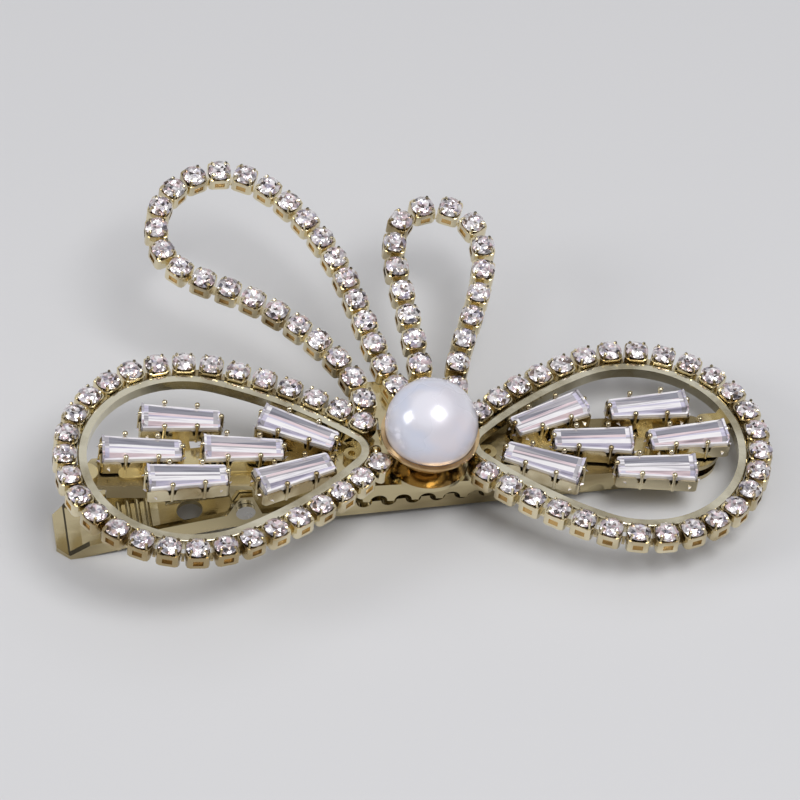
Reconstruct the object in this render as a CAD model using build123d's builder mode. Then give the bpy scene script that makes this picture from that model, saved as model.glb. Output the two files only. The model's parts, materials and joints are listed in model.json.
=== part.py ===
from build123d import *
import math
import os

os.makedirs("parts", exist_ok=True)

# Rhinestone bow hair clip. Millimetres, +Z up, lying on a table as it would be put down.
# The bow lies in a plane that slopes down a little towards +X, because the clip under it
# rests on its finger lever at one end and on the tip of its jaw at the other.

# ---- where the bow stands ----
SLOPE = 5.6              # degrees the bow slopes down towards +X
BOW_MID_X = -0.092       # middle of the bow, between the tips of the two wings
BOW_MID_Y = -11.561
BOW_HEIGHT = 8.84        # height of the stones' girdles above the table at the middle

# ---- clip ----
SHEET = 0.6              # steel sheet of both arms
CLIP_V = 0.7             # the clip's centreline lies a little behind the bow's
PLATE_TOP = -2.7         # upper face of the top arm
TAIL_END = -35.0
TAIL_HALF = 1.9
TAIL_CORNER = 0.8
WAIST_AT = -5.0          # the tail widens up to here
WAIST_HALF = 4.0
TAPER_AT = 20.0          # from here the top arm narrows to its nose
NOSE_AT = 31.4           # the round nose of both jaws starts here
NOSE_END = 34.7
TIP_HALF = 3.85
JAW_FLANGE_AT = -9.0     # the toothed flanges start here
TAIL_FLANGE_FROM = -33.0
TAIL_FLANGE_TO = -21.4
TAIL_FLANGE = 1.3
TEETH_BOTTOM = -5.3
TOOTH_PITCH = 2.66
FIRST_ARCH = -6.3
TOP_ARCHES = 15
TOP_ARCH_R = 0.95        # arches between the teeth of the top arm
LOWER_ARCHES = 14
LOWER_ARCH_R = 0.85
PIVOT_U = -18.0
PIVOT_H = -6.3
PIN_R = 0.6
PIN_FIT = 0.04           # radial play of the pin in its holes
PIN_HEAD_R = 1.05
PIN_HEAD = 0.45          # height of the riveted heads
PIN_HEAD_GAP = 0.05
LUG_IN = 2.0             # inner face of the top arm's lugs from the centreline
LUG_OUT = 2.6
LUG_FOOT = 2.1           # half length of a lug where it leaves the top arm
LUG_R = 1.35
EAR_IN = 2.7             # inner face of the lower arm's hinge ears
EAR_OUT = 3.3
EAR_TOP = -4.3
EAR_CROWN = 0.7          # half length of a hinge ear at its top and at its foot
EAR_FOOT = 1.9
SPINE = -9.0             # underside of the lower arm below the pin, over SPINE_HALF each way
SPINE_HALF = 1.0
JAW_HALF = 3.15          # lower jaw, outside its upturned flanges
JAW_STEP = 3.0           # the jaw's flanges reach their width this far from the pin
JAW_TOUCH = 31.5         # the jaw lies on the table from here to its end
JAW_END = 34.5
JAW_GAP = 0.3            # between the shut jaws
LEVER_BEND = (-26.8, -10.3)
LEVER_TOUCH = -35.2      # the lever lies on the table from its end to here
LEVER_END = -38.0
LEVER_HALF = 3.75
LEVER_CORNER = 1.4
LEVER_HOLE_AT = (-23.5, 0.2)
LEVER_HOLE_R = 1.4
RIBS = 6                 # low ribs for the thumb
FIRST_RIB = 1.1          # from the lever's bend
RIB_PITCH = 1.0
RIB_R = 0.3
RIB_HALF = 2.4
FLANGE = 1.9             # height of the lower arm's flanges

# ---- room for cuts ----
BELOW_ALL = -13.5        # a level under the whole clip
ALL_TALL = 12.0          # from there to above the hinge
THROUGH = 8.0            # longer than any piece that is cut across

# ---- torsion spring ----
WIRE_R = 0.3
COIL_R = 1.25
COIL_PITCH = 1.1
LEG_REACH = 8.0          # how far the legs run from the pin towards the tail
LEG_GAP = 0.04           # between the end of a leg and its arm

# ---- wings ----
TIP_R = 1.8              # opening of a wing: round tip, long flanks, round outer end
END_R = 10.9
FLANK_R = 45.0
LEFT_LENGTH = 29.6
RIGHT_LENGTH = 28.4
LEFT_TIP = (-5.4, 0.4)
RIGHT_TIP = (7.45, 0.1)
LEFT_TURN = 180.0
RIGHT_TURN = -3.7
RAIL_WIDE = 1.0
RAIL_TOP = -0.6
RAIL_ROUND = 0.22
UNDERSIDE = -1.9         # underside of rails and cups

# ---- cup chain ----
PITCH = 3.0
LEFT_COUNT = 30
RIGHT_COUNT = 28
CHAIN_OUT = 2.35         # line of the stones, outside the edge of the opening
LEFT_SLIDE = 0.9         # the left chain starts this far round, so that its last cup clears the pearl
CUP = 2.5
CUP_CORNER = 0.5
CUP_TOP = -0.13
CUP_FLOOR = 0.3
CUP_BORE = 1.08
WINDOW_WIDE = 1.0
WINDOW_TALL = 0.85
WINDOW_SILL = 0.1
CLAW_AT = 0.978
CLAW_R = 0.15
CLAW_ROOT = 0.3          # a claw starts this far below the cup's rim
CLAW_BALL = 0.175
CLAW_BALL_AT = 0.93
CLAW_BALL_H = 0.27
STONE_R = 1.19
STONE_TABLE_R = 0.72
STONE_TABLE_H = 0.45
STONE_CULET = -0.92
STONE_GIRDLE = (-0.03, 0.05)
LINK_WIDE = 0.9
LINK_THICK = 0.3
LINK_GAP = 0.02

# ---- ears: two loops of the same chain that stand out behind ----
EAR_RISE = 9.65          # degrees
EAR_DROP = -0.9
BIG_EAR_COUNT = 28
SMALL_EAR_COUNT = 18

# ---- tapered baguettes and their settings ----
BAG_LONG = 8.5
BAG_WIDE = 3.5
BAG_NARROW = 2.5
GIRDLE_LOW = -1.0
GIRDLE_HIGH = -0.45
TABLE_H = 0.3
PAVILION_H = -1.7
CROWN_TAPER = 36
PAVILION_TAPER = 44
CARRIER = 0.3            # thickness of the stamping under the settings
WALL = 0.2
SEAT_GAP = 0.03
SETTING_CORNER = 0.5
LOBE_TOP = -0.8
LOBE_CORNER = 0.45
NOTCH_FLOOR = -1.5
NOTCH_WIDE = 0.85        # notch in each end of a setting
NOTCH_TALL = 4.0
NOTCH_CORNER = 0.4
CLAW_X = 1.75            # side claws, from the middle of the setting
CLAW_ROOM = 0.8          # gap between two lobes, where a claw stands
SETTING_CLAW_R = 0.18
SETTING_CLAW_OUT = 0.22  # claws stand this far outside the stone's edge
SETTING_BALL_R = 0.3
SETTING_BALL_OUT = 0.1
SETTING_BALL_H = -0.02

# ---- pearl ----
PEARL_R = 5.0
PEARL_AT = (1.8, -0.1, 3.2)
BOWL_GAP = 0.05
BOWL_WALL = 0.25
RIM_BELOW = 1.35         # rim of the bowl below the pearl's equator
LIP = 0.2                # the rim stands out this far
LIP_THICK = 0.3
NECK_R = 1.2
NECK_TALL = 0.3
PEG_R = 0.4
PEG_TALL = 3.6
PEG_ROOT = 0.1
PEG_GAP = 0.05
BORE_DEEP = 3.8
FOOT_THICK = 0.55
FOOT_R = 4.5
FOOT_FROM = -6.0         # the foot lies between here and FOOT_LONG further on
FOOT_LONG = 16.0
FOOT_FRONT = -5.0
FOOT_BEND = 4.2          # behind this line the foot slopes up under the ears
FOOT_BACK = 10.4
TONGUE_GAP = 0.03        # between the sloped tongue and the ears' cups
RIVET_AT = (-3.6, 1.1)
RIVET_R = 0.6
RIVET_TALL = 0.7
RIVET_ROUND = 0.5

SIN = math.sin(math.radians(SLOPE))
COS = math.cos(math.radians(SLOPE))
BOW = Plane(origin=(BOW_MID_X, BOW_MID_Y, BOW_HEIGHT), x_dir=(COS, 0, -SIN), z_dir=(SIN, 0, COS))


def level(h):
    """Plane parallel to the bow at height h, x along the bow and y to the back."""
    return BOW.offset(h)


def along(v):
    """Plane standing along the bow at depth v: x along the bow, y up, facing the front."""
    return Plane(origin=BOW.from_local_coords((0, v, 0)), x_dir=BOW.x_dir, z_dir=(0, -1, 0))


def across(u):
    """Plane standing square to the bow at u: x to the back, y up, facing +u."""
    return Plane(origin=BOW.from_local_coords((u, 0, 0)), x_dir=(0, 1, 0), z_dir=BOW.x_dir)


def table(u):
    """Height, in the bow's frame, of the table under u."""
    return (u * SIN - BOW_HEIGHT) / COS


# ------------------------------------------------------------------ top arm
def top_half(u):
    """Half width of the top arm at u."""
    if u < WAIST_AT:
        return TAIL_HALF + (WAIST_HALF - TAIL_HALF) * (u - TAIL_END) / (WAIST_AT - TAIL_END)
    if u < TAPER_AT:
        return WAIST_HALF
    return WAIST_HALF + (TIP_HALF - WAIST_HALF) * (u - TAPER_AT) / (NOSE_AT - TAPER_AT)


def flange_strip(stations, side):
    """Plan of one turned-down flange of the top arm, through the stations given."""
    outer = [(u, CLIP_V + side * top_half(u)) for u in stations]
    inner = [(u, CLIP_V + side * (top_half(u) - SHEET)) for u in reversed(stations)]
    return outer + inner


with BuildPart() as clip_top_arm:
    tail_side = TAIL_END + TAIL_CORNER
    with BuildSketch(level(PLATE_TOP)):
        with BuildLine():
            Polyline(
                (NOSE_AT, CLIP_V - TIP_HALF),
                (TAPER_AT, CLIP_V - WAIST_HALF),
                (WAIST_AT, CLIP_V - WAIST_HALF),
                (tail_side, CLIP_V - top_half(tail_side)),
                (TAIL_END, CLIP_V - TAIL_HALF + TAIL_CORNER),
                (TAIL_END, CLIP_V + TAIL_HALF - TAIL_CORNER),
                (tail_side, CLIP_V + top_half(tail_side)),
                (WAIST_AT, CLIP_V + WAIST_HALF),
                (TAPER_AT, CLIP_V + WAIST_HALF),
                (NOSE_AT, CLIP_V + TIP_HALF),
            )
            ThreePointArc((NOSE_AT, CLIP_V + TIP_HALF), (NOSE_END, CLIP_V), (NOSE_AT, CLIP_V - TIP_HALF))
        make_face()
    extrude(amount=-SHEET)
    # toothed flanges of the jaw
    with BuildSketch(level(PLATE_TOP - SHEET)):
        for side in (-1, 1):
            with BuildLine():
                Polyline(*flange_strip([JAW_FLANGE_AT, WAIST_AT, TAPER_AT, NOSE_AT], side), close=True)
            make_face()
    extrude(amount=-(PLATE_TOP - SHEET - TEETH_BOTTOM))
    # plain flanges of the tail
    with BuildSketch(level(PLATE_TOP - SHEET)):
        for side in (-1, 1):
            with BuildLine():
                Polyline(*flange_strip([TAIL_FLANGE_FROM, TAIL_FLANGE_TO], side), close=True)
            make_face()
    extrude(amount=-TAIL_FLANGE)
    # arches between the teeth, and a sloped end to each flange
    with BuildSketch(along(CLIP_V)):
        with Locations(*[(FIRST_ARCH + TOOTH_PITCH * i, TEETH_BOTTOM) for i in range(TOP_ARCHES)]):
            Circle(TOP_ARCH_R)
        with BuildLine():
            Polyline(
                (JAW_FLANGE_AT - 0.2, PLATE_TOP - 2 * SHEET),
                (JAW_FLANGE_AT + 1.6, TEETH_BOTTOM - SHEET / 2),
                (JAW_FLANGE_AT - 0.2, TEETH_BOTTOM - SHEET / 2),
                close=True,
            )
        make_face()
    extrude(amount=THROUGH, both=True, mode=Mode.SUBTRACT)
    # lugs that carry the pin
    lug_root = PLATE_TOP - SHEET + 0.1
    with BuildSketch(along(CLIP_V)):
        with BuildLine():
            Polyline(
                (PIVOT_U - LUG_FOOT, lug_root),
                (PIVOT_U - LUG_R + 0.1, PIVOT_H + 0.3),
                (PIVOT_U + LUG_R - 0.1, PIVOT_H + 0.3),
                (PIVOT_U + LUG_FOOT, lug_root),
                close=True,
            )
        make_face()
        with Locations((PIVOT_U, PIVOT_H)):
            Circle(LUG_R)
    extrude(amount=LUG_OUT, both=True)
    with BuildSketch(along(CLIP_V)):
        with Locations((PIVOT_U, (PLATE_TOP - SHEET + SPINE) / 2)):
            Rectangle(3 * LUG_FOOT, PLATE_TOP - SHEET - SPINE)
    extrude(amount=LUG_IN, both=True, mode=Mode.SUBTRACT)
    with BuildSketch(along(CLIP_V)):
        with Locations((PIVOT_U, PIVOT_H)):
            Circle(PIN_R + PIN_FIT)
    extrude(amount=THROUGH, both=True, mode=Mode.SUBTRACT)
clip_top_arm.part.label = "clip_top_arm"
export_step(clip_top_arm.part, "parts/clip_top_arm.step")


# ------------------------------------------------------------------ lower arm
LOWER = [
    (LEVER_END, table(LEVER_END)),
    (LEVER_TOUCH, table(LEVER_TOUCH)),
    LEVER_BEND,
    (PIVOT_U - SPINE_HALF, SPINE),
    (PIVOT_U + SPINE_HALF, SPINE),
    (JAW_TOUCH, table(JAW_TOUCH)),
    (JAW_END, table(JAW_END)),
]


def lower_face(rise, tail=0.0):
    """Side view of the lower arm's underside, lifted by rise and run past both ends by tail."""
    line = [(u, h + rise) for u, h in LOWER]
    line[0] = (line[0][0] - tail, line[0][1] - tail * SIN / COS)
    line[-1] = (line[-1][0] + tail, line[-1][1] + tail * SIN / COS)
    return line


# room between the flanges, in the lever and in the jaw
with BuildPart() as lower_arm_room:
    with BuildSketch(level(BELOW_ALL)):
        with BuildLine():
            Polyline(
                (LEVER_END - 2.0, CLIP_V - LEVER_HALF + SHEET),
                (PIVOT_U, CLIP_V - EAR_IN),
                (PIVOT_U + JAW_STEP, CLIP_V - JAW_HALF + SHEET),
                (JAW_END + 2.0, CLIP_V - JAW_HALF + SHEET),
                (JAW_END + 2.0, CLIP_V + JAW_HALF - SHEET),
                (PIVOT_U + JAW_STEP, CLIP_V + JAW_HALF - SHEET),
                (PIVOT_U, CLIP_V + EAR_IN),
                (LEVER_END - 2.0, CLIP_V + LEVER_HALF - SHEET),
                close=True,
            )
        make_face()
    extrude(amount=ALL_TALL)
    with BuildSketch(along(CLIP_V)):
        with BuildLine():
            Polyline(
                *lower_face(SHEET, 3.0),
                (JAW_END + 3.0, BELOW_ALL + ALL_TALL),
                (LEVER_END - 3.0, BELOW_ALL + ALL_TALL),
                close=True,
            )
        make_face()
    extrude(amount=THROUGH, both=True, mode=Mode.INTERSECT)

with BuildPart() as clip_lower_arm:
    with BuildSketch(along(CLIP_V)):
        with BuildLine():
            Polyline(
                *LOWER,
                (JAW_END, table(JAW_END) + SHEET),
                (JAW_TOUCH, table(JAW_TOUCH) + SHEET),
                (JAW_TOUCH - 0.8, PLATE_TOP - SHEET - JAW_GAP),
                (PIVOT_U + EAR_FOOT + 0.7, SPINE + FLANGE),
                (PIVOT_U + EAR_FOOT, SPINE + FLANGE),
                (PIVOT_U + EAR_CROWN, EAR_TOP),
                (PIVOT_U - EAR_CROWN, EAR_TOP),
                (PIVOT_U - EAR_FOOT, SPINE + FLANGE),
                (LEVER_BEND[0], LEVER_BEND[1] + FLANGE),
                (LEVER_TOUCH + 0.6, table(LEVER_TOUCH) + FLANGE),
                (LEVER_END + 1.2, table(LEVER_END) + SHEET),
                (LEVER_END, table(LEVER_END) + SHEET),
                close=True,
            )
        make_face()
    extrude(amount=THROUGH, both=True)
    with BuildSketch(level(BELOW_ALL)):
        with BuildLine():
            Polyline(
                (NOSE_AT, CLIP_V - JAW_HALF),
                (PIVOT_U + JAW_STEP, CLIP_V - JAW_HALF),
                (PIVOT_U + JAW_STEP - 0.5, CLIP_V - EAR_OUT),
                (PIVOT_U, CLIP_V - EAR_OUT),
                (LEVER_END + LEVER_CORNER, CLIP_V - LEVER_HALF),
                (LEVER_END, CLIP_V - LEVER_HALF + LEVER_CORNER),
                (LEVER_END, CLIP_V + LEVER_HALF - LEVER_CORNER),
                (LEVER_END + LEVER_CORNER, CLIP_V + LEVER_HALF),
                (PIVOT_U, CLIP_V + EAR_OUT),
                (PIVOT_U + JAW_STEP - 0.5, CLIP_V + EAR_OUT),
                (PIVOT_U + JAW_STEP, CLIP_V + JAW_HALF),
                (NOSE_AT, CLIP_V + JAW_HALF),
            )
            ThreePointArc((NOSE_AT, CLIP_V + JAW_HALF), (JAW_END, CLIP_V), (NOSE_AT, CLIP_V - JAW_HALF))
        make_face()
    extrude(amount=ALL_TALL, mode=Mode.INTERSECT)
    add(lower_arm_room.part, mode=Mode.SUBTRACT)
    # arches between the teeth of the jaw's flanges
    jaw_rise = (table(JAW_TOUCH) - SPINE) / (JAW_TOUCH - SPINE_HALF - PIVOT_U)
    with BuildSketch(along(CLIP_V)):
        for i in range(LOWER_ARCHES):
            arch_at = FIRST_ARCH + TOOTH_PITCH * (i + 0.5)
            with Locations((arch_at, SPINE + FLANGE + (arch_at - PIVOT_U - SPINE_HALF) * jaw_rise)):
                Circle(LOWER_ARCH_R)
    extrude(amount=THROUGH, both=True, mode=Mode.SUBTRACT)
    # pin holes, the round hole in the lever and low ribs for the thumb
    with BuildSketch(along(CLIP_V)):
        with Locations((PIVOT_U, PIVOT_H)):
            Circle(PIN_R + PIN_FIT)
    extrude(amount=THROUGH, both=True, mode=Mode.SUBTRACT)
    with BuildSketch(level(BELOW_ALL)):
        with Locations(LEVER_HOLE_AT):
            Circle(LEVER_HOLE_R)
    extrude(amount=ALL_TALL, mode=Mode.SUBTRACT)
    lever_rise = (LEVER_BEND[1] - table(LEVER_TOUCH)) / (LEVER_BEND[0] - LEVER_TOUCH)
    with BuildSketch(along(CLIP_V)):
        for i in range(RIBS):
            back = FIRST_RIB + RIB_PITCH * i
            with Locations((LEVER_BEND[0] - back, LEVER_BEND[1] + SHEET - lever_rise * back)):
                Circle(RIB_R)
    extrude(amount=RIB_HALF, both=True)
clip_lower_arm.part.label = "clip_lower_arm"
export_step(clip_lower_arm.part, "parts/clip_lower_arm.step")


# ------------------------------------------------------------------ hinge pin, riveted over at both ends
with BuildPart() as hinge_pin:
    with BuildSketch(along(CLIP_V)):
        with Locations((PIVOT_U, PIVOT_H)):
            Circle(PIN_R)
    extrude(amount=EAR_OUT + PIN_HEAD_GAP + PIN_HEAD / 2, both=True)
    for side in (-1, 1):
        with BuildSketch(along(CLIP_V - side * (EAR_OUT + PIN_HEAD_GAP))):
            with Locations((PIVOT_U, PIVOT_H)):
                Circle(PIN_HEAD_R)
        extrude(amount=side * PIN_HEAD)
hinge_pin.part.label = "hinge_pin"
export_step(hinge_pin.part, "parts/hinge_pin.step")


# ------------------------------------------------------------------ torsion spring
# Both legs end LEG_REACH from the pin: one under the top arm, one on the lower arm.
FLOOR_RISE = (SPINE - LEVER_BEND[1]) / (PIVOT_U - SPINE_HALF - LEVER_BEND[0])
LEG_FLOOR = LEVER_BEND[1] + FLOOR_RISE * (PIVOT_U - LEG_REACH - LEVER_BEND[0]) + SHEET
UPPER_END = (-LEG_REACH, PLATE_TOP - SHEET - WIRE_R - LEG_GAP - PIVOT_H)
LOWER_END = (-LEG_REACH, LEG_FLOOR + WIRE_R + LEG_GAP - PIVOT_H)
UPPER_TOUCH = math.atan2(UPPER_END[1], UPPER_END[0]) - math.acos(COIL_R / math.hypot(*UPPER_END))
LOWER_TOUCH = math.atan2(LOWER_END[1], LOWER_END[0]) + math.acos(COIL_R / math.hypot(*LOWER_END))
COIL_SWEEP = UPPER_TOUCH - LOWER_TOUCH + 4 * math.pi
COIL_STEPS = 10
COIL_WIDE = COIL_PITCH * COIL_SWEEP / (2 * math.pi)


def coil_point(step):
    """Point of the coil's centreline after so many steps, in the bow's frame."""
    turn = UPPER_TOUCH - COIL_SWEEP * step / COIL_STEPS
    v = CLIP_V - COIL_WIDE / 2 + COIL_WIDE * step / COIL_STEPS
    return Vector(PIVOT_U + COIL_R * math.cos(turn), v, PIVOT_H + COIL_R * math.sin(turn))


def coil_tangent(step):
    """Direction of the coil's centreline there; it runs in and out square to the pin."""
    turn = UPPER_TOUCH - COIL_SWEEP * step / COIL_STEPS
    lean = 0.0 if step in (0, COIL_STEPS) else COIL_PITCH / (2 * math.pi * COIL_R)
    return Vector(math.sin(turn), lean, -math.cos(turn)).normalized()


def biarc(p0, t0, p1, t1):
    """Joint point and the tangent there of the two arcs that join p0 to p1."""
    v = p1 - p0
    t = t0 + t1
    root = math.sqrt(v.dot(t) ** 2 + 2 * (1 - t0.dot(t1)) * v.dot(v))
    d = (-v.dot(t) + root) / (2 * (1 - t0.dot(t1)))
    joint = (p0 + p1 + (t0 - t1) * d) * 0.5
    return joint, ((p1 - t1 * d) - (p0 + t0 * d)).normalized()


def to_world(p):
    """A point of the bow's frame in the object's frame."""
    return BOW.from_local_coords(p)


def turn_world(d):
    """A direction of the bow's frame in the object's frame."""
    return BOW.from_local_coords(d) - BOW.origin


with BuildPart() as torsion_spring:
    with BuildLine() as spring_line:
        upper_end = Vector(PIVOT_U + UPPER_END[0], coil_point(0).Y, PIVOT_H + UPPER_END[1])
        lower_end = Vector(PIVOT_U + LOWER_END[0], coil_point(COIL_STEPS).Y, PIVOT_H + LOWER_END[1])
        Line(to_world(upper_end), to_world(coil_point(0)))
        for i in range(COIL_STEPS):
            start, finish = coil_point(i), coil_point(i + 1)
            heading, leaving = coil_tangent(i), coil_tangent(i + 1)
            middle, through = biarc(start, heading, finish, leaving)
            TangentArc(to_world(start), to_world(middle), tangent=turn_world(heading))
            TangentArc(to_world(middle), to_world(finish), tangent=turn_world(through))
        Line(to_world(coil_point(COIL_STEPS)), to_world(lower_end))
    leg_way = turn_world(coil_point(0) - upper_end)
    with BuildSketch(Plane(origin=to_world(upper_end), z_dir=leg_way)):
        Circle(WIRE_R)
    sweep(path=spring_line.wires()[0])
torsion_spring.part.label = "torsion_spring"
export_step(torsion_spring.part, "parts/torsion_spring.step")

# least gap of the spring to itself, on points of its centreline further apart along the wire than a half turn
spring_wire = spring_line.wires()[0]
SAMPLES = 600
spring_points = [spring_wire.position_at(i / SAMPLES) for i in range(SAMPLES + 1)]
step_length = spring_wire.length / SAMPLES
far_enough = int(math.pi * COIL_R / step_length)
least = min(
    (spring_points[i] - spring_points[j]).length
    for i in range(0, SAMPLES + 1)
    for j in range(i + far_enough, SAMPLES + 1)
)
print("torsion_spring least gap to itself", round(least - 2 * WIRE_R, 3), "mm")


# ------------------------------------------------------------------ wings
class Wing:
    """Outline of one wing: a round tip, two long flanks and a round outer end."""

    def __init__(self, tip, turn, length):
        self.tip = tip
        self.turn = turn
        self.end_at = length - END_R
        span = self.end_at - TIP_R
        near = FLANK_R - TIP_R
        far = FLANK_R - END_R
        reach = (near ** 2 - far ** 2 + span ** 2) / (2 * span)
        self.flank_at = TIP_R + reach
        self.flank_out = math.sqrt(near ** 2 - reach ** 2)
        self.end_turn = math.atan2(self.flank_out, self.end_at - self.flank_at)
        self.tip_turn = math.atan2(self.flank_out, TIP_R - self.flank_at)

    def plane(self, h):
        """Plane at height h with its origin at the wing's tip and x towards the outer end."""
        return Plane(level(h).location * Location((self.tip[0], self.tip[1], 0), (0, 0, self.turn)))

    def edge(self, grow):
        """Points that the outline's five arcs run through, grown outwards by grow."""
        end_r = END_R + grow
        tip_r = TIP_R + grow
        mid = (self.end_turn + self.tip_turn) / 2
        joins = []
        joins.append((self.end_at + end_r * math.cos(self.end_turn), end_r * math.sin(self.end_turn)))
        flank_r = FLANK_R + grow
        joins.append((self.flank_at + flank_r * math.cos(mid), flank_r * math.sin(mid) - self.flank_out))
        joins.append((TIP_R + tip_r * math.cos(self.tip_turn), tip_r * math.sin(self.tip_turn)))
        return joins, (self.end_at + end_r, 0), (TIP_R - tip_r, 0)

    def station(self, s):
        """Place and heading of the stone line at s along it from the outer end."""
        side = 1 if s >= 0 else -1
        run = abs(s)
        end_r = END_R + CHAIN_OUT
        flank_r = FLANK_R + CHAIN_OUT
        tip_r = TIP_R + CHAIN_OUT
        if run <= end_r * self.end_turn:
            a = run / end_r
            x, y = self.end_at + end_r * math.cos(a), end_r * math.sin(a)
        elif run <= end_r * self.end_turn + flank_r * (self.tip_turn - self.end_turn):
            a = self.end_turn + (run - end_r * self.end_turn) / flank_r
            x, y = self.flank_at + flank_r * math.cos(a), flank_r * math.sin(a) - self.flank_out
        else:
            rest = run - end_r * self.end_turn - flank_r * (self.tip_turn - self.end_turn)
            a = self.tip_turn + rest / tip_r
            x, y = TIP_R + tip_r * math.cos(a), tip_r * math.sin(a)
        return x, side * y, side * math.degrees(a) + 90.0


LEFT = Wing(LEFT_TIP, LEFT_TURN, LEFT_LENGTH)
RIGHT = Wing(RIGHT_TIP, RIGHT_TURN, RIGHT_LENGTH)


def draw_outline(wing, grow):
    """Draws the closed outline of a wing, grown by grow, in the line builder in hand."""
    (a, b, c), outer, tip = wing.edge(grow)
    ThreePointArc((a[0], -a[1]), outer, a)
    ThreePointArc(a, b, c)
    ThreePointArc(c, tip, (c[0], -c[1]))
    ThreePointArc((c[0], -c[1]), (b[0], -b[1]), (a[0], -a[1]))


for side_name, wing in (("left", LEFT), ("right", RIGHT)):
    with BuildPart() as wing_frame:
        with BuildSketch(wing.plane(UNDERSIDE)):
            with BuildLine():
                draw_outline(wing, RAIL_WIDE)
            make_face()
        extrude(amount=RAIL_TOP - UNDERSIDE)
        fillet(wing_frame.faces().sort_by(Axis(BOW.origin, BOW.z_dir))[-1].edges(), RAIL_ROUND)
        with BuildSketch(wing.plane(UNDERSIDE)):
            with BuildLine():
                draw_outline(wing, 0.0)
            make_face()
        extrude(amount=RAIL_TOP - UNDERSIDE, mode=Mode.SUBTRACT)
    wing_frame.part.label = f"{side_name}_wing_frame"
    export_step(wing_frame.part, f"parts/{side_name}_wing_frame.step")


# ------------------------------------------------------------------ one cup, one brilliant
# Built about the girdle's centre; x runs along the chain.
with BuildPart() as cup:
    with BuildSketch(Plane.XY.offset(UNDERSIDE)):
        RectangleRounded(CUP, CUP, CUP_CORNER)
    extrude(amount=CUP_TOP - UNDERSIDE)
    with BuildSketch(Plane.XY.offset(UNDERSIDE + CUP_FLOOR)):
        Circle(CUP_BORE)
    extrude(amount=THROUGH, mode=Mode.SUBTRACT)
    with BuildSketch(Plane.XZ):
        with Locations((0, UNDERSIDE + CUP_FLOOR + WINDOW_TALL / 2 + WINDOW_SILL)):
            Rectangle(WINDOW_WIDE, WINDOW_TALL)
    extrude(amount=THROUGH, both=True, mode=Mode.SUBTRACT)
    with BuildSketch(Plane.XY.offset(CUP_TOP - CLAW_ROOT)):
        with GridLocations(2 * CLAW_AT, 2 * CLAW_AT, 2, 2):
            Circle(CLAW_R)
    extrude(amount=CLAW_BALL_H - CUP_TOP + CLAW_ROOT)
    with Locations(Plane.XY.offset(CLAW_BALL_H)):
        with GridLocations(2 * CLAW_BALL_AT, 2 * CLAW_BALL_AT, 2, 2):
            Sphere(CLAW_BALL)

with BuildPart() as brilliant:
    with BuildSketch(Plane.XZ):
        with BuildLine():
            Polyline(
                (0, STONE_CULET),
                (STONE_R, STONE_GIRDLE[0]),
                (STONE_R, STONE_GIRDLE[1]),
                (STONE_TABLE_R, STONE_TABLE_H),
                (0, STONE_TABLE_H),
                close=True,
            )
        make_face()
    revolve(axis=Axis.Z)


def chain_places(plane, stations):
    """Location of each cup of a chain, from (x, y, heading) stations on a plane."""
    return [plane.location * Location((x, y, 0), (0, 0, heading)) for x, y, heading in stations]


def link_places(plane, stations):
    """Location and length of each link between two cups that follow one another."""
    found = []
    for (x0, y0, a0), (x1, y1, a1) in zip(stations, stations[1:]):
        chord = math.hypot(x1 - x0, y1 - y0)
        turn = math.radians(abs((a1 - a0 + 180) % 360 - 180)) / 2
        length = chord - 2 * (CUP / 2 / math.cos(turn) + LINK_WIDE / 2 * math.tan(turn) + LINK_GAP)
        heading = math.degrees(math.atan2(y1 - y0, x1 - x0))
        place = plane.location * Location(((x0 + x1) / 2, (y0 + y1) / 2, 0), (0, 0, heading))
        found.append((place, length))
    return found


LEFT_STATIONS = [LEFT.station(PITCH * (i + 1 - LEFT_COUNT // 2) - LEFT_SLIDE) for i in range(LEFT_COUNT)]
RIGHT_STATIONS = [RIGHT.station(PITCH * (i - (RIGHT_COUNT - 1) / 2)) for i in range(RIGHT_COUNT)]


# ------------------------------------------------------------------ lines of the ears
ear_tilt = math.radians(EAR_RISE)
EARS = Plane(
    origin=BOW.from_local_coords((0, 0, EAR_DROP)),
    x_dir=BOW.x_dir,
    z_dir=turn_world(Vector(0, -math.sin(ear_tilt), math.cos(ear_tilt))),
)

with BuildLine() as big_ear_line:
    Spline(
        (-0.4, 8.4),
        (-2.5, 15.7),
        (-4.2, 23.1),
        (-8.5, 32.1),
        (-15.8, 37.6),
        (-23.0, 34.2),
        (-23.6, 26.8),
        (-16.4, 21.6),
        (-9.0, 15.6),
        (-5.0, 9.7),
        (-4.2, 6.9),
    )

with BuildLine() as small_ear_line:
    Spline(
        (2.7, 7.9),
        (2.4, 13.5),
        (2.0, 20.0),
        (1.9, 26.9),
        (3.34, 30.36),
        (6.8, 31.8),
        (10.26, 30.36),
        (11.7, 26.9),
        (11.2, 22.5),
        (9.4, 17.5),
        (7.1, 12.0),
        (6.1, 7.9),
    )


def ear_stations(line, count):
    """Evenly spaced stations along an ear's line, at equal lengths of wire."""
    edge = line.edges()[0]
    found = []
    for i in range(count):
        share = i / (count - 1)
        at = edge.position_at(share)
        way = edge.tangent_at(share)
        found.append((at.X, at.Y, math.degrees(math.atan2(way.Y, way.X))))
    return found


BIG_STATIONS = ear_stations(big_ear_line, BIG_EAR_COUNT)
SMALL_STATIONS = ear_stations(small_ear_line, SMALL_EAR_COUNT)


# ------------------------------------------------------------------ four chains of cups, stones and links
CHAINS = [
    ("left_wing", LEFT.plane(0), LEFT_STATIONS),
    ("right_wing", RIGHT.plane(0), RIGHT_STATIONS),
    ("big_ear", EARS, BIG_STATIONS),
    ("small_ear", EARS, SMALL_STATIONS),
]

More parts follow.
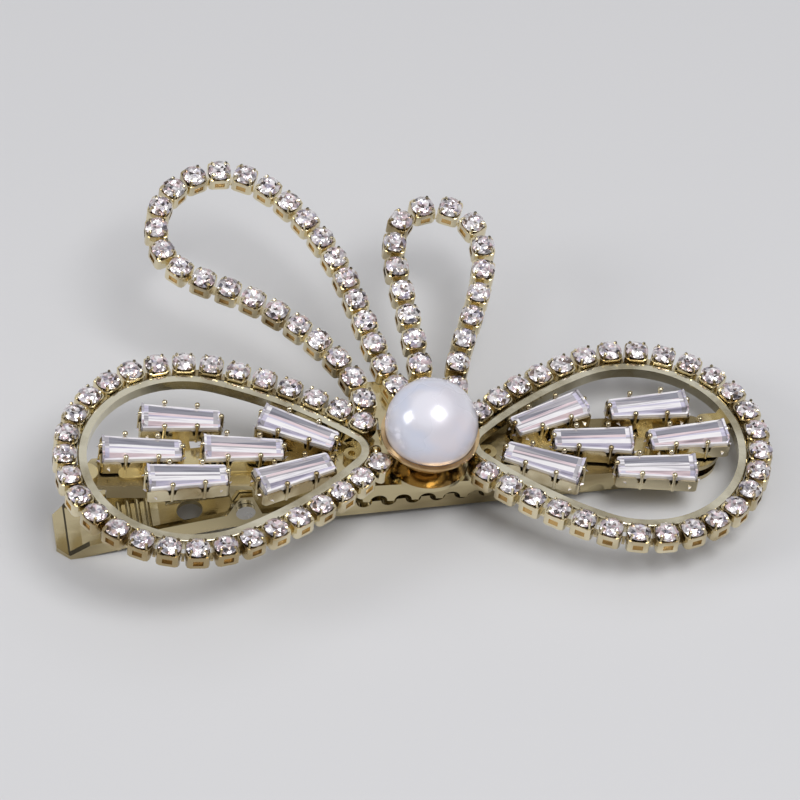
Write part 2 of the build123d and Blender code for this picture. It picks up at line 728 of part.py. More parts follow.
for chain_name, plane, stations in CHAINS:
    with BuildPart() as chain_cups:
        with Locations(*chain_places(plane, stations)):
            add(cup.part)
    chain_cups.part.label = f"{chain_name}_cups"
    export_step(chain_cups.part, f"parts/{chain_name}_cups.step")
    with BuildPart() as chain_stones:
        with Locations(*chain_places(plane, stations)):
            add(brilliant.part)
    chain_stones.part.label = f"{chain_name}_stones"
    export_step(chain_stones.part, f"parts/{chain_name}_stones.step")
    links = link_places(plane.offset(UNDERSIDE + LINK_THICK / 2), stations)
    with BuildPart() as chain_links:
        for place, length in links:
            with Locations(place):
                Box(length, LINK_WIDE, LINK_THICK)
    chain_links.part.label = f"{chain_name}_links"
    export_step(chain_links.part, f"parts/{chain_name}_links.step")


# ------------------------------------------------------------------ tapered baguettes
# Centre along the bow, centre to the back, and the heading from the wide to the narrow end.
LEFT_BAGUETTES = [
    (-24.3, 5.9, -7.0),
    (-29.0, 1.8, -5.0),
    (-18.1, 1.2, -5.2),
    (-24.6, -2.3, -1.0),
    (-11.8, 3.6, -29.2),
    (-13.0, -2.5, 16.4),
]
RIGHT_BAGUETTES = [
    (15.8, 3.8, -160.0),
    (26.9, 4.3, -178.0),
    (20.0, -0.1, 175.0),
    (30.5, -0.3, -177.0),
    (14.1, -2.8, 154.9),
    (26.2, -4.5, 175.0),
]
SETTING_FOOT = PLATE_TOP + CARRIER


def taper_outline(grow):
    """Corners of the baguette's outline, grown outwards by grow; x runs to the narrow end."""
    x = BAG_LONG / 2 + grow
    slope = (BAG_WIDE - BAG_NARROW) / 2 / BAG_LONG
    wide = (BAG_WIDE + BAG_NARROW) / 4 + slope * x + grow
    narrow = (BAG_WIDE + BAG_NARROW) / 4 - slope * x + grow
    return [(-x, -wide), (x, -narrow), (x, narrow), (-x, wide)]


with BuildPart() as baguette:
    with BuildSketch(Plane.XY.offset(GIRDLE_LOW)):
        with BuildLine():
            Polyline(*taper_outline(0.0), close=True)
        make_face()
    extrude(amount=GIRDLE_HIGH - GIRDLE_LOW)
    with BuildSketch(Plane.XY.offset(GIRDLE_HIGH)):
        with BuildLine():
            Polyline(*taper_outline(0.0), close=True)
        make_face()
    extrude(amount=TABLE_H - GIRDLE_HIGH, taper=CROWN_TAPER)
    with BuildSketch(Plane.XY.offset(GIRDLE_LOW)):
        with BuildLine():
            Polyline(*taper_outline(0.0), close=True)
        make_face()
    extrude(amount=PAVILION_H - GIRDLE_LOW, taper=PAVILION_TAPER)

with BuildPart() as setting:
    with BuildSketch(Plane.XY.offset(SETTING_FOOT)):
        with BuildLine():
            Polyline(*taper_outline(SEAT_GAP + WALL), close=True)
        corners = make_face()
        fillet(corners.vertices(), SETTING_CORNER)
    extrude(amount=LOBE_TOP - SETTING_FOOT)
    with BuildSketch(Plane.XY.offset(SETTING_FOOT + CARRIER)):
        with BuildLine():
            Polyline(*taper_outline(SEAT_GAP), close=True)
        make_face()
    extrude(amount=THROUGH, mode=Mode.SUBTRACT)
    # three rounded lobes along each side, one notch in each end
    middle_lobe = 2 * CLAW_X - CLAW_ROOM
    end_lobe = BAG_LONG / 2 + SEAT_GAP + WALL - CLAW_X - CLAW_ROOM / 2
    end_lobe_at = CLAW_X + CLAW_ROOM / 2 + end_lobe / 2
    lobe_tall = LOBE_TOP - SETTING_FOOT
    with BuildSketch(Plane.XZ):
        with Locations((0, (SETTING_FOOT + NOTCH_FLOOR) / 2)):
            Rectangle(BAG_LONG + 4 * WALL, NOTCH_FLOOR - SETTING_FOOT)
        with Locations((0, SETTING_FOOT + lobe_tall / 2)):
            RectangleRounded(middle_lobe, lobe_tall, LOBE_CORNER)
        for end_at in (-end_lobe_at, end_lobe_at):
            with Locations((end_at, SETTING_FOOT + lobe_tall / 2)):
                RectangleRounded(end_lobe, lobe_tall, LOBE_CORNER)
    extrude(amount=THROUGH, both=True, mode=Mode.INTERSECT)
    with BuildSketch(Plane.YZ):
        with Locations((0, NOTCH_FLOOR + NOTCH_TALL / 2)):
            RectangleRounded(NOTCH_WIDE, NOTCH_TALL, NOTCH_CORNER)
    extrude(amount=THROUGH, both=True, mode=Mode.SUBTRACT)
    # claws: two on each side, one on each end, each with a ball at its tip
    for x, dx, dy in (
        (-CLAW_X, 0, 1),
        (CLAW_X, 0, 1),
        (-CLAW_X, 0, -1),
        (CLAW_X, 0, -1),
        (-BAG_LONG / 2, -1, 0),
        (BAG_LONG / 2, 1, 0),
    ):
        edge_y = dy * ((BAG_WIDE + BAG_NARROW) / 4 - (BAG_WIDE - BAG_NARROW) / 2 / BAG_LONG * x)
        with BuildSketch(Plane.XY.offset(SETTING_FOOT)):
            with Locations((x + dx * SETTING_CLAW_OUT, edge_y + dy * SETTING_CLAW_OUT)):
                Circle(SETTING_CLAW_R)
        extrude(amount=SETTING_BALL_H - SETTING_FOOT)
        with Locations((x + dx * SETTING_BALL_OUT, edge_y + dy * SETTING_BALL_OUT, SETTING_BALL_H)):
            Sphere(SETTING_BALL_R)

for side_name, baguettes in (("left", LEFT_BAGUETTES), ("right", RIGHT_BAGUETTES)):
    for number, (u, v, heading) in enumerate(baguettes, start=1):
        spot = BOW.location * Location((u, v, 0), (0, 0, heading))
        with BuildPart() as placed_baguette:
            with Locations(spot):
                add(baguette.part)
        placed_baguette.part.label = f"{side_name}_baguette_{number}"
        export_step(placed_baguette.part, f"parts/{side_name}_baguette_{number}.step")
        with BuildPart() as placed_setting:
            with Locations(spot):
                add(setting.part)
        placed_setting.part.label = f"{side_name}_setting_{number}"
        export_step(placed_setting.part, f"parts/{side_name}_setting_{number}.step")


# ------------------------------------------------------------------ carriers under the settings
# Each is one stamping: a strip along the top arm, two cross bars and a pad under each setting.
PAD_LONG = 5.6
PAD_WIDE = 1.3
PAD_CORNER = 0.5
# centre along the bow and to the back, length along the bow, width and corner radius of each bar
LEFT_BARS = [
    (-21.1, CLIP_V, 21.0, 2.6, 0.6),
    (-24.4, 1.8, 1.8, 9.4, 0.5),
    (-14.3, 0.6, 1.6, 7.4, 0.5),
]
RIGHT_BARS = [
    (21.5, 0.2, 20.0, 2.6, 0.6),
    (26.5, -0.1, 1.8, 9.8, 0.5),
    (14.6, 0.3, 1.6, 7.0, 0.5),
]

CLUSTERS = [
    ("left", LEFT_BARS, LEFT_BAGUETTES),
    ("right", RIGHT_BARS, RIGHT_BAGUETTES),
]

for side_name, bars, baguettes in CLUSTERS:
    with BuildPart() as cluster_carrier:
        with BuildSketch(level(PLATE_TOP)):
            for u, v, bar_long, bar_wide, corner in bars:
                with Locations((u, v)):
                    RectangleRounded(bar_long, bar_wide, corner)
            for u, v, heading in baguettes:
                with Locations(Location((u, v, 0), (0, 0, heading))):
                    RectangleRounded(PAD_LONG, PAD_WIDE, PAD_CORNER)
        extrude(amount=CARRIER)
    cluster_carrier.part.label = f"{side_name}_cluster_carrier"
    export_step(cluster_carrier.part, f"parts/{side_name}_cluster_carrier.step")


# ------------------------------------------------------------------ tabs that tie the rails to the top arm
TAB_HOLE_R = 0.4
TIP_TAB_V = LEFT_TIP[1] + 0.4
# name, centre, length, width, and the hole's centre where a tab has one
TABS = [
    ("left_outer_tab", (-35.15, 0.2), 2.7, 2.4, None),
    ("right_outer_tab", (34.0, 3.0), 3.4, 1.8, None),
    ("left_tip_tab", (-6.0, TIP_TAB_V), 2.3, 1.7, (-6.3, TIP_TAB_V)),
    ("right_tip_tab", (8.0, RIGHT_TIP[1]), 3.0, 1.9, (8.5, RIGHT_TIP[1])),
]

for tab_name, centre, tab_long, tab_wide, hole in TABS:
    with BuildPart() as tab:
        with BuildSketch(level(PLATE_TOP)):
            with Locations(centre):
                SlotOverall(tab_long, tab_wide)
            if hole is not None:
                with Locations(hole):
                    Circle(TAB_HOLE_R, mode=Mode.SUBTRACT)
        extrude(amount=UNDERSIDE - PLATE_TOP)
    tab.part.label = tab_name
    export_step(tab.part, f"parts/{tab_name}.step")


# ------------------------------------------------------------------ knot: foot plate, rivet, bowl and pearl
FOOT_TOP = PLATE_TOP + FOOT_THICK
EAR_SLOPE = math.tan(ear_tilt)

TONGUE_RISE = (FOOT_BACK - FOOT_BEND) * EAR_SLOPE
# centre, length, width and corner radius of the foot's plan, beside its round middle
FOOT_PADS = [
    ((1.0, 4.0), 7.4, 9.0, 1.0),
    ((1.0, 8.0), 13.0, 4.6, 1.6),
    ((-3.45, 1.1), 2.5, 1.8, 0.8),
]

with BuildPart() as pearl_foot:
    with BuildSketch(across(FOOT_FROM)):
        with BuildLine():
            Polyline(
                (FOOT_FRONT, PLATE_TOP),
                (FOOT_BEND, PLATE_TOP),
                (FOOT_BACK, PLATE_TOP + TONGUE_RISE),
                (FOOT_BACK, FOOT_TOP + TONGUE_RISE - TONGUE_GAP / 2),
                (FOOT_BEND, FOOT_TOP - TONGUE_GAP / 2),
                (FOOT_BEND - 0.2, FOOT_TOP),
                (FOOT_FRONT, FOOT_TOP),
                close=True,
            )
        make_face()
    extrude(amount=FOOT_LONG)
    with BuildSketch(level(BELOW_ALL)):
        with Locations(PEARL_AT[:2]):
            Circle(FOOT_R)
        for centre, pad_long, pad_wide, corner in FOOT_PADS:
            with Locations(centre):
                RectangleRounded(pad_long, pad_wide, corner)
    extrude(amount=2 * ALL_TALL, mode=Mode.INTERSECT)
pearl_foot.part.label = "pearl_foot"
export_step(pearl_foot.part, "parts/pearl_foot.step")

with BuildPart() as knot_rivet:
    with BuildSketch(level(FOOT_TOP)):
        with Locations(RIVET_AT):
            Circle(RIVET_R)
    extrude(amount=RIVET_TALL)
    fillet(knot_rivet.faces().sort_by(Axis(BOW.origin, BOW.z_dir))[-1].edges(), RIVET_ROUND)
knot_rivet.part.label = "knot_rivet"
export_step(knot_rivet.part, "parts/knot_rivet.step")

PEARL_PLANE = Plane(origin=BOW.from_local_coords(PEARL_AT), x_dir=BOW.x_dir, z_dir=(0, -1, 0))
PEARL_AXIS = Axis(PEARL_PLANE.origin, BOW.z_dir)
bowl_in = PEARL_R + BOWL_GAP
bowl_out = bowl_in + BOWL_WALL

with BuildPart() as pearl_cup:
    with BuildSketch(PEARL_PLANE):
        with BuildLine():
            lip_in = (math.sqrt(bowl_in ** 2 - RIM_BELOW ** 2), -RIM_BELOW)
            lip_out = (math.sqrt(bowl_out ** 2 - RIM_BELOW ** 2) + LIP, -RIM_BELOW)
            lip_under = (lip_out[0], -RIM_BELOW - LIP_THICK)
            under = (math.sqrt(bowl_out ** 2 - lip_under[1] ** 2), lip_under[1])
            low = math.radians(-45)
            Line(lip_in, lip_out)
            Line(lip_out, lip_under)
            Line(lip_under, under)
            ThreePointArc(under, (bowl_out * math.cos(low), bowl_out * math.sin(low)), (0, -bowl_out))
            Line((0, -bowl_out), (0, -bowl_in))
            ThreePointArc((0, -bowl_in), (bowl_in * math.cos(low), bowl_in * math.sin(low)), lip_in)
        make_face()
    revolve(axis=PEARL_AXIS)
    with BuildSketch(level(PEARL_AT[2] - bowl_out + PEG_ROOT)):
        with Locations(PEARL_AT[:2]):
            Circle(PEG_R)
    extrude(amount=PEG_TALL)
    # neck soldered to the foot
    with BuildSketch(level(FOOT_TOP)):
        with Locations(PEARL_AT[:2]):
            Circle(NECK_R)
    extrude(amount=NECK_TALL)
pearl_cup.part.label = "pearl_cup"
export_step(pearl_cup.part, "parts/pearl_cup.step")

with BuildPart() as pearl:
    with Locations(Location(PEARL_PLANE.origin)):
        Sphere(PEARL_R)
    with BuildSketch(level(PEARL_AT[2] - PEARL_R - PEG_ROOT)):
        with Locations(PEARL_AT[:2]):
            Circle(PEG_R + PEG_GAP)
    extrude(amount=PEG_ROOT + BORE_DEEP, mode=Mode.SUBTRACT)
pearl.part.label = "pearl"
export_step(pearl.part, "parts/pearl.step")
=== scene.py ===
"""Rhinestone bow hair clip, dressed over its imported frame.

The frame holds every metal piece of the clip at its real size. This script cuts the stones and the
baguettes, turns the pearl and the spring, plates the metal, and sets up a small studio.
All lengths are metres.
"""

import json
import logging
import math
import random
from dataclasses import dataclass
from enum import Enum
from typing import Callable, Iterable

import bmesh
import bpy
from bpy.types import Material, Mesh, Node, NodeSocket, NodeTree, Object
from mathutils import Matrix, Vector


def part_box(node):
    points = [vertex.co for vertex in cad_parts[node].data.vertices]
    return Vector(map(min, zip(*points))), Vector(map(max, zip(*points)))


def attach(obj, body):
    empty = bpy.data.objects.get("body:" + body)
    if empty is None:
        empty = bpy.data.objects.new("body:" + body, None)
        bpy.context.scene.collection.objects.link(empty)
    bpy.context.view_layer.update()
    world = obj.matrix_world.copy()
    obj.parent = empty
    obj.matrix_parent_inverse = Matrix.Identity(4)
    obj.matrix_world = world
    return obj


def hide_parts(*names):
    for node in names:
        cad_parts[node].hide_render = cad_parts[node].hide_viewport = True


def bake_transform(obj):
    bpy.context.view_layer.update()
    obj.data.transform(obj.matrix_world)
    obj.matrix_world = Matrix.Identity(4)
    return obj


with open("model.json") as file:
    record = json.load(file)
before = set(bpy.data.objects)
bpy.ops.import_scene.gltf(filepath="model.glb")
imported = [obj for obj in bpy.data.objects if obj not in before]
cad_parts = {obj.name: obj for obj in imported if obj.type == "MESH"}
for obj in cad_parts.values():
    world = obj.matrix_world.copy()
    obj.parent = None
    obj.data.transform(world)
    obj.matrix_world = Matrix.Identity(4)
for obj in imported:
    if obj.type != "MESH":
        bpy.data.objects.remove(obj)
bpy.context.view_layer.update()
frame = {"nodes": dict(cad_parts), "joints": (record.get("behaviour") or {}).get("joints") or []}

MM = 0.001
SEED = 41
BOW_BODY = "bow_and_top_arm"
# Colour attribute of painted light on the stones' facets: painted reflections, glints and shade
PAINTED_FACET_LIGHT = "painted_facet_light"
STREAK_MAP = "streak"
WELD = 0.001 * MM
LEVEL_ENOUGH = 0.95
UPRIGHT_ENOUGH = 0.1
FACING_ENOUGH = 0.99
CENTRAL_ENOUGH = 0.01 * MM
NEAR_END = 0.8
TOWARDS_TIP_ROUNDS = 8

log = logging.getLogger("hair_clip")

Colour = tuple[float, float, float]


# ---------------- reading the frame
@dataclass(frozen=True)
class Seat:
    """Where a cut stone sits: the middle of its table, the way the table faces and its long way."""

    middle: Vector
    up: Vector
    way: Vector

    def matrix(self, below: float) -> Matrix:
        """Gives the stone's own frame, x along its way and z out of its table.

        Args:
            below: how far the stone's girdle lies under its table.

        Returns:
            The matrix that carries a stone cut about its girdle to this seat.
        """
        side = self.up.cross(self.way).normalized()
        way = side.cross(self.up)
        turned = Matrix((way, side, self.up)).transposed().to_4x4()
        return Matrix.Translation(self.middle - self.up * below) @ turned


def merged_copy(node: str) -> bmesh.types.BMesh:
    """Copies a node's mesh with its loose triangles joined up.

    Args:
        node: name of the node.

    Returns:
        The copy, which the caller frees.
    """
    bm = bmesh.new()
    bm.from_mesh(frame["nodes"][node].data)
    bmesh.ops.remove_doubles(bm, verts=bm.verts, dist=WELD)
    bm.normal_update()
    return bm


def islands(bm: bmesh.types.BMesh) -> list[set[bmesh.types.BMFace]]:
    """Splits a mesh into its separate solids.

    Args:
        bm: the mesh, already merged.

    Returns:
        The faces of each solid.
    """
    left = set(bm.faces)
    found = []
    while left:
        island = set()
        edge_of = [left.pop()]
        while edge_of:
            face = edge_of.pop()
            island.add(face)
            for edge in face.edges:
                for other in edge.link_faces:
                    if other in left:
                        left.remove(other)
                        edge_of.append(other)
        found.append(island)
    return found


def seat_of(faces: Iterable[bmesh.types.BMFace]) -> Seat:
    """Reads the seat of one stone from the faces of its solid.

    Args:
        faces: the faces of one stone of the frame.

    Returns:
        Its seat, with the way running from the wide to the narrow end where the stone has one.
    """
    tops = [f for f in faces if f.normal.z > LEVEL_ENOUGH]
    area = sum(f.calc_area() for f in tops)
    middle = sum((f.calc_center_median() * f.calc_area() for f in tops), Vector()) / area
    up = sum((f.normal * f.calc_area() for f in tops), Vector()).normalized()
    points = [v.co - middle for v in {v for f in faces for v in f.verts}]
    flat = [p - up * p.dot(up) for p in points]
    longest = max(flat, key=lambda p: p.length)
    side = up.cross(longest).normalized()
    way = side.cross(up)
    for _ in range(TOWARDS_TIP_ROUNDS):
        reach = [p.dot(way) for p in flat]
        tip_line = [p for p, r in zip(flat, reach) if r > NEAR_END * max(reach)]
        heel_line = [p for p, r in zip(flat, reach) if r < NEAR_END * min(reach)]
        tip = (max(tip_line, key=lambda p: p.dot(side)) + min(tip_line, key=lambda p: p.dot(side))) / 2
        heel = (max(heel_line, key=lambda p: p.dot(side)) + min(heel_line, key=lambda p: p.dot(side))) / 2
        way = (tip - heel).normalized()
        side = up.cross(way)
    reach = [p.dot(way) for p in flat]
    tip_wide = max(abs(p.dot(side)) for p, r in zip(flat, reach) if r > NEAR_END * max(reach))
    heel_wide = max(abs(p.dot(side)) for p, r in zip(flat, reach) if r < NEAR_END * min(reach))
    middle = middle + way * (max(reach) + min(reach)) / 2
    return Seat(middle, up, way if heel_wide >= tip_wide else -way)


def foot_of(faces: Iterable[bmesh.types.BMFace]) -> Seat:
    """Reads where one cup of a chain stands.

    Args:
        faces: the faces of one cup of the frame.

    Returns:
        The middle of its flat underside, the way up and the way along the chain.
    """
    unders = [f for f in faces if f.normal.z < -LEVEL_ENOUGH]
    up = -sum((f.normal * f.calc_area() for f in unders), Vector()).normalized()
    lowest = min(f.calc_center_median().dot(up) for f in unders)
    sole = [f for f in unders if f.calc_center_median().dot(up) < lowest + 0.05 * MM]
    area = sum(f.calc_area() for f in sole)
    middle = sum((f.calc_center_median() * f.calc_area() for f in sole), Vector()) / area
    side_walls = [f for f in faces if abs(f.normal.dot(up)) < UPRIGHT_ENOUGH]
    way = max(side_walls, key=lambda f: f.calc_area()).normal
    return Seat(middle, up, (way - up * way.dot(up)).normalized())


def seats(node: str, read: Callable[[Iterable[bmesh.types.BMFace]], Seat] = seat_of) -> list[Seat]:
    """Reads the seats of all solids of a node, in order from left to right.

    Args:
        node: name of a node of stones or of cups.
        read: reads the seat of one solid.

    Returns:
        One seat for each of its solids.
    """
    bm = merged_copy(node)
    found = [read(island) for island in islands(bm)]
    bm.free()
    return sorted(found, key=lambda s: (round(s.middle.x, 5), round(s.middle.y, 5)))


# ---------------- shader parts
class Sheet:
    """A node tree being wired: a material's or a group's."""

    def __init__(self, tree: NodeTree) -> None:
        """Keeps the tree and empties it."""
        self.tree = tree
        tree.nodes.clear()

    def put(self, kind: str, settings: dict | None = None, **sockets: object) -> Node:
        """Adds a node, with its settings and the values or links of its input sockets.

        Args:
            kind: the node's type name.
            settings: properties set on the node itself.
            sockets: input sockets by name, with _ for a space; a socket is linked, a value is set.

        Returns:
            The new node.
        """
        node = self.tree.nodes.new(kind)
        for name, value in (settings or {}).items():
            setattr(node, name, value)
        for name, value in sockets.items():
            self.feed(node.inputs[name.replace("_", " ")], value)
        return node

    def feed(self, socket: NodeSocket, value: object) -> None:
        """Links a socket to another, or sets its value.

        Args:
            socket: the input socket.
            value: an output socket, a number, a vector or a colour.
        """
        if isinstance(value, NodeSocket):
            self.tree.links.new(value, socket)
        elif isinstance(value, tuple) and socket.type == "RGBA" and len(value) == 3:
            socket.default_value = (*value, 1.0)
        else:
            socket.default_value = value

    def maths(self, how: str, a: object, b: object = 0.0) -> NodeSocket:
        """Adds a Math node and gives its result.

        Args:
            how: the operation.
            a: first value or link.
            b: second value or link.

        Returns:
            The result's socket.
        """
        node = self.put("ShaderNodeMath", {"operation": how})
        self.feed(node.inputs[0], a)
        self.feed(node.inputs[1], b)
        return node.outputs[0]

    def bump(self, relief: NodeSocket, strength: float, distance: float) -> NodeSocket:
        """Turns a relief into a normal."""
        return self.put("ShaderNodeBump", Height=relief, Strength=strength, Distance=distance).outputs[0]

    def surface(self, coat: tuple[float, float] | None = None, **sockets: object) -> None:
        """Ends a material with its surface.

        Args:
            coat: weight and roughness of a clear coat, where it has one.
            sockets: input sockets of the surface by name, with _ for a space.
        """
        shader = self.put("ShaderNodeBsdfPrincipled", **sockets)
        if coat:
            shader.inputs["Coat Weight"].default_value = coat[0]
            shader.inputs["Coat Roughness"].default_value = coat[1]
        self.put("ShaderNodeOutputMaterial", Surface=shader.outputs[0])

    def spread(self, value: object, low: float, high: float, to_low: float, to_high: float) -> NodeSocket:
        """Maps a value's range onto another, clamped.

        Args:
            value: what is mapped.
            low: bottom of the range that comes in.
            high: top of the range that comes in.
            to_low: what the bottom becomes.
            to_high: what the top becomes.

        Returns:
            The mapped value.
        """
        node = self.put("ShaderNodeMapRange", Value=value)
        node.inputs["From Min"].default_value = low
        node.inputs["From Max"].default_value = high
        node.inputs["To Min"].default_value = to_low
        node.inputs["To Max"].default_value = to_high
        return node.outputs["Result"]

    def blend(self, how: str, factor: object, a: object, b: object) -> NodeSocket:
        """Mixes two colours.

        Args:
            how: the blend type.
            factor: how much of the second colour.
            a: first colour.
            b: second colour.

        Returns:
            The mixed colour.
        """
        node = self.put("ShaderNodeMix", {"data_type": "RGBA", "blend_type": how})
        self.feed(node.inputs[0], factor)
        self.feed(node.inputs[6], a)
        self.feed(node.inputs[7], b)
        return node.outputs[2]


class Group:
    """A shader node group with named sockets, built once and placed in each material."""

    def __init__(self, name: str, takes: dict[str, str], gives: dict[str, str]) -> None:
        """Makes the empty group.

        Args:
            name: the group's name.
            takes: input sockets and their kinds.
            gives: output sockets and their kinds.
        """
        self.tree = bpy.data.node_groups.new(name, "ShaderNodeTree")
        for title, kind in takes.items():
            self.tree.interface.new_socket(name=title, in_out="INPUT", socket_type="NodeSocket" + kind)
        for title, kind in gives.items():
            self.tree.interface.new_socket(name=title, in_out="OUTPUT", socket_type="NodeSocket" + kind)
        self.sheet = Sheet(self.tree)
        self.taken = self.sheet.put("NodeGroupInput").outputs
        self.given = self.sheet.put("NodeGroupOutput").inputs

    def place(self, sheet: Sheet, **sockets: object) -> Node:
        """Places the group in a material, with the values or links of its inputs."""
        return sheet.put("ShaderNodeGroup", {"node_tree": self.tree}, **sockets)


def build_plating_group() -> Group:
    """Builds the plated-metal effect: fine rubbing, cloudy patina and a shallow ripple.

    Returns:
        A group that takes the place, the size of the rubbing and of the clouds, and the amounts,
        and gives a patina mask, a roughness and a height.
    """
    group = Group(
        "plating",
        {"Place": "Vector", "Rub": "Float", "Cloud": "Float", "Gloss": "Float", "Worn": "Float"},
        {"Patina": "Float", "Roughness": "Float", "Height": "Float"},
    )
    sheet, taken, given = group.sheet, group.taken, group.given
    rub = sheet.put("ShaderNodeTexNoise", Vector=taken["Place"], Scale=taken["Rub"], Detail=5.0)
    cloud = sheet.put("ShaderNodeTexNoise", Vector=taken["Place"], Scale=taken["Cloud"], Detail=4.0)
    spots = sheet.put("ShaderNodeTexVoronoi", Vector=taken["Place"], Scale=taken["Cloud"])
    patina = sheet.spread(cloud.outputs[0], 0.46, 0.62, 0.0, 1.0)
    specks = sheet.spread(spots.outputs["Distance"], 0.0, 0.16, 0.55, 0.0)
    dirt = sheet.maths("MULTIPLY", sheet.maths("MAXIMUM", patina, specks), taken["Worn"])
    scratch = sheet.spread(rub.outputs[0], 0.3, 0.7, -0.06, 0.1)
    rough = sheet.maths("ADD", taken["Gloss"], sheet.maths("MULTIPLY", scratch, taken["Worn"]))
    rough = sheet.maths("ADD", rough, sheet.maths("MULTIPLY", dirt, 0.12))
    sheet.feed(given["Patina"], dirt)
    sheet.feed(given["Roughness"], sheet.maths("MAXIMUM", rough, 0.03))
    ripple = sheet.maths("MULTIPLY", cloud.outputs[0], 3.0)
    sheet.feed(given["Height"], sheet.maths("ADD", rub.outputs[0], ripple))
    return group


def build_glint_group() -> Group:
    """Builds the painted reflections and glints inside a cut stone: small flat cells, each with its own
    painted light and tilt.

    Returns:
        A group that takes the place and the size of the cells, and gives a painted reflection colour,
        a painted glint mask and a height.
    """
    group = Group(
        "glints",
        {"Place": "Vector", "Cells": "Float"},
        {"Tint": "Color", "PaintedGlint": "Float", "Height": "Float"},
    )
    sheet, taken, given = group.sheet, group.taken, group.given
    cells = sheet.put("ShaderNodeTexVoronoi", Vector=taken["Place"], Scale=taken["Cells"])
    split = sheet.put("ShaderNodeSeparateColor", Color=cells.outputs["Color"])
    ramp = sheet.put("ShaderNodeValToRGB", Fac=split.outputs[0])
    ramp.color_ramp.interpolation = "CONSTANT"
    # Painted reflections: each cell gets a white, pink, grey or dark brown colour that stands in for light
    # reflected inside the stone.
    stops = (
        (0.0, (0.30, 0.27, 0.28)),
        (0.10, (0.72, 0.66, 0.68)),
        (0.26, (0.97, 0.93, 0.94)),
        (0.60, (1.0, 0.98, 0.98)),
        (0.82, (0.93, 0.84, 0.88)),
        (0.94, (0.66, 0.55, 0.44)),
    )
    paint_ramp(ramp, stops)
    sheet.feed(given["Tint"], ramp.outputs[0])
    # Painted glints: a mask of the cells that are brightened as if they caught a lamp.
    sheet.feed(given["PaintedGlint"], sheet.spread(split.outputs[1], 0.72, 0.8, 0.0, 1.0))
    sheet.feed(given["Height"], cells.outputs["Distance"])
    return group


def paint_ramp(ramp: Node, stops: Iterable[tuple[float, Colour]]) -> None:
    """Sets the stops of a colour ramp.

    Args:
        ramp: the ColorRamp node.
        stops: positions and colours, lowest first.
    """
    elements = ramp.color_ramp.elements
    while len(elements) > 1:
        elements.remove(elements[-1])
    for number, (at, colour) in enumerate(stops):
        stop = elements[0] if number == 0 else elements.new(at)
        stop.position = at
        stop.color = (*colour, 1.0)


def new_material(name: str) -> tuple[Material, Sheet]:
    """Makes an empty material.

    Args:
        name: its name.

    Returns:
        The material and its node tree to wire.
    """
    material = bpy.data.materials.new(name)
    material.use_nodes = True
    return material, Sheet(material.node_tree)


# ---------------- finishes
@dataclass(frozen=True)
class PlatedMetal:
    """Bright plating on stamped or cast metal, rubbed and a little clouded."""

    name: str
    colour: Colour
    patina: Colour
    gloss: float = 0.14
    worn: float = 1.0
    rub_scale: float = 900.0
    cloud_scale: float = 130.0
    stretch: tuple[float, float, float] = (1.0, 1.0, 1.0)
    ripple: float = 0.05 * MM

    def build(self, plating: Group) -> Material:
        """Builds the material.

        Args:
            plating: the shared plating group.

        Returns:
            The finished material.
        """
        material, sheet = new_material(self.name)
        place = sheet.put("ShaderNodeTexCoord").outputs["Object"]
        drawn = sheet.put("ShaderNodeMapping", Vector=place, Scale=self.stretch)
        effect = plating.place(
            sheet,
            Place=drawn.outputs[0],
            Rub=self.rub_scale,
            Cloud=self.cloud_scale,
            Gloss=self.gloss,
            Worn=self.worn,
        )
        tint = sheet.blend("MIX", effect.outputs["Patina"], self.colour, self.patina)
        normal = sheet.bump(effect.outputs["Height"], 0.35, self.ripple)
        sheet.surface(Base_Color=tint, Roughness=effect.outputs["Roughness"], Metallic=1.0, Normal=normal)
        return material


DRAWN_ALONG = (0.3, 1.0, 1.0)
CHAMPAGNE_PLATE = PlatedMetal(
    "champagne_plate", (0.63, 0.54, 0.33), (0.26, 0.20, 0.10), gloss=0.10, worn=0.85, stretch=DRAWN_ALONG
)
RAIL_PLATE = PlatedMetal("rail_plate", (0.84, 0.79, 0.62), (0.46, 0.40, 0.26), gloss=0.08, worn=0.8)
PALE_GOLD_PLATE = PlatedMetal("pale_gold_plate", (0.81, 0.72, 0.50), (0.42, 0.33, 0.18), gloss=0.09)
WARM_GOLD_PLATE = PlatedMetal("warm_gold_plate", (0.76, 0.64, 0.36), (0.42, 0.32, 0.14), gloss=0.12)
ORANGE_GOLD_PLATE = PlatedMetal("orange_gold_plate", (0.78, 0.57, 0.32), (0.44, 0.28, 0.12), gloss=0.11)
BRIGHT_WIRE = PlatedMetal("bright_wire", (0.66, 0.65, 0.63), (0.38, 0.36, 0.33), gloss=0.18)


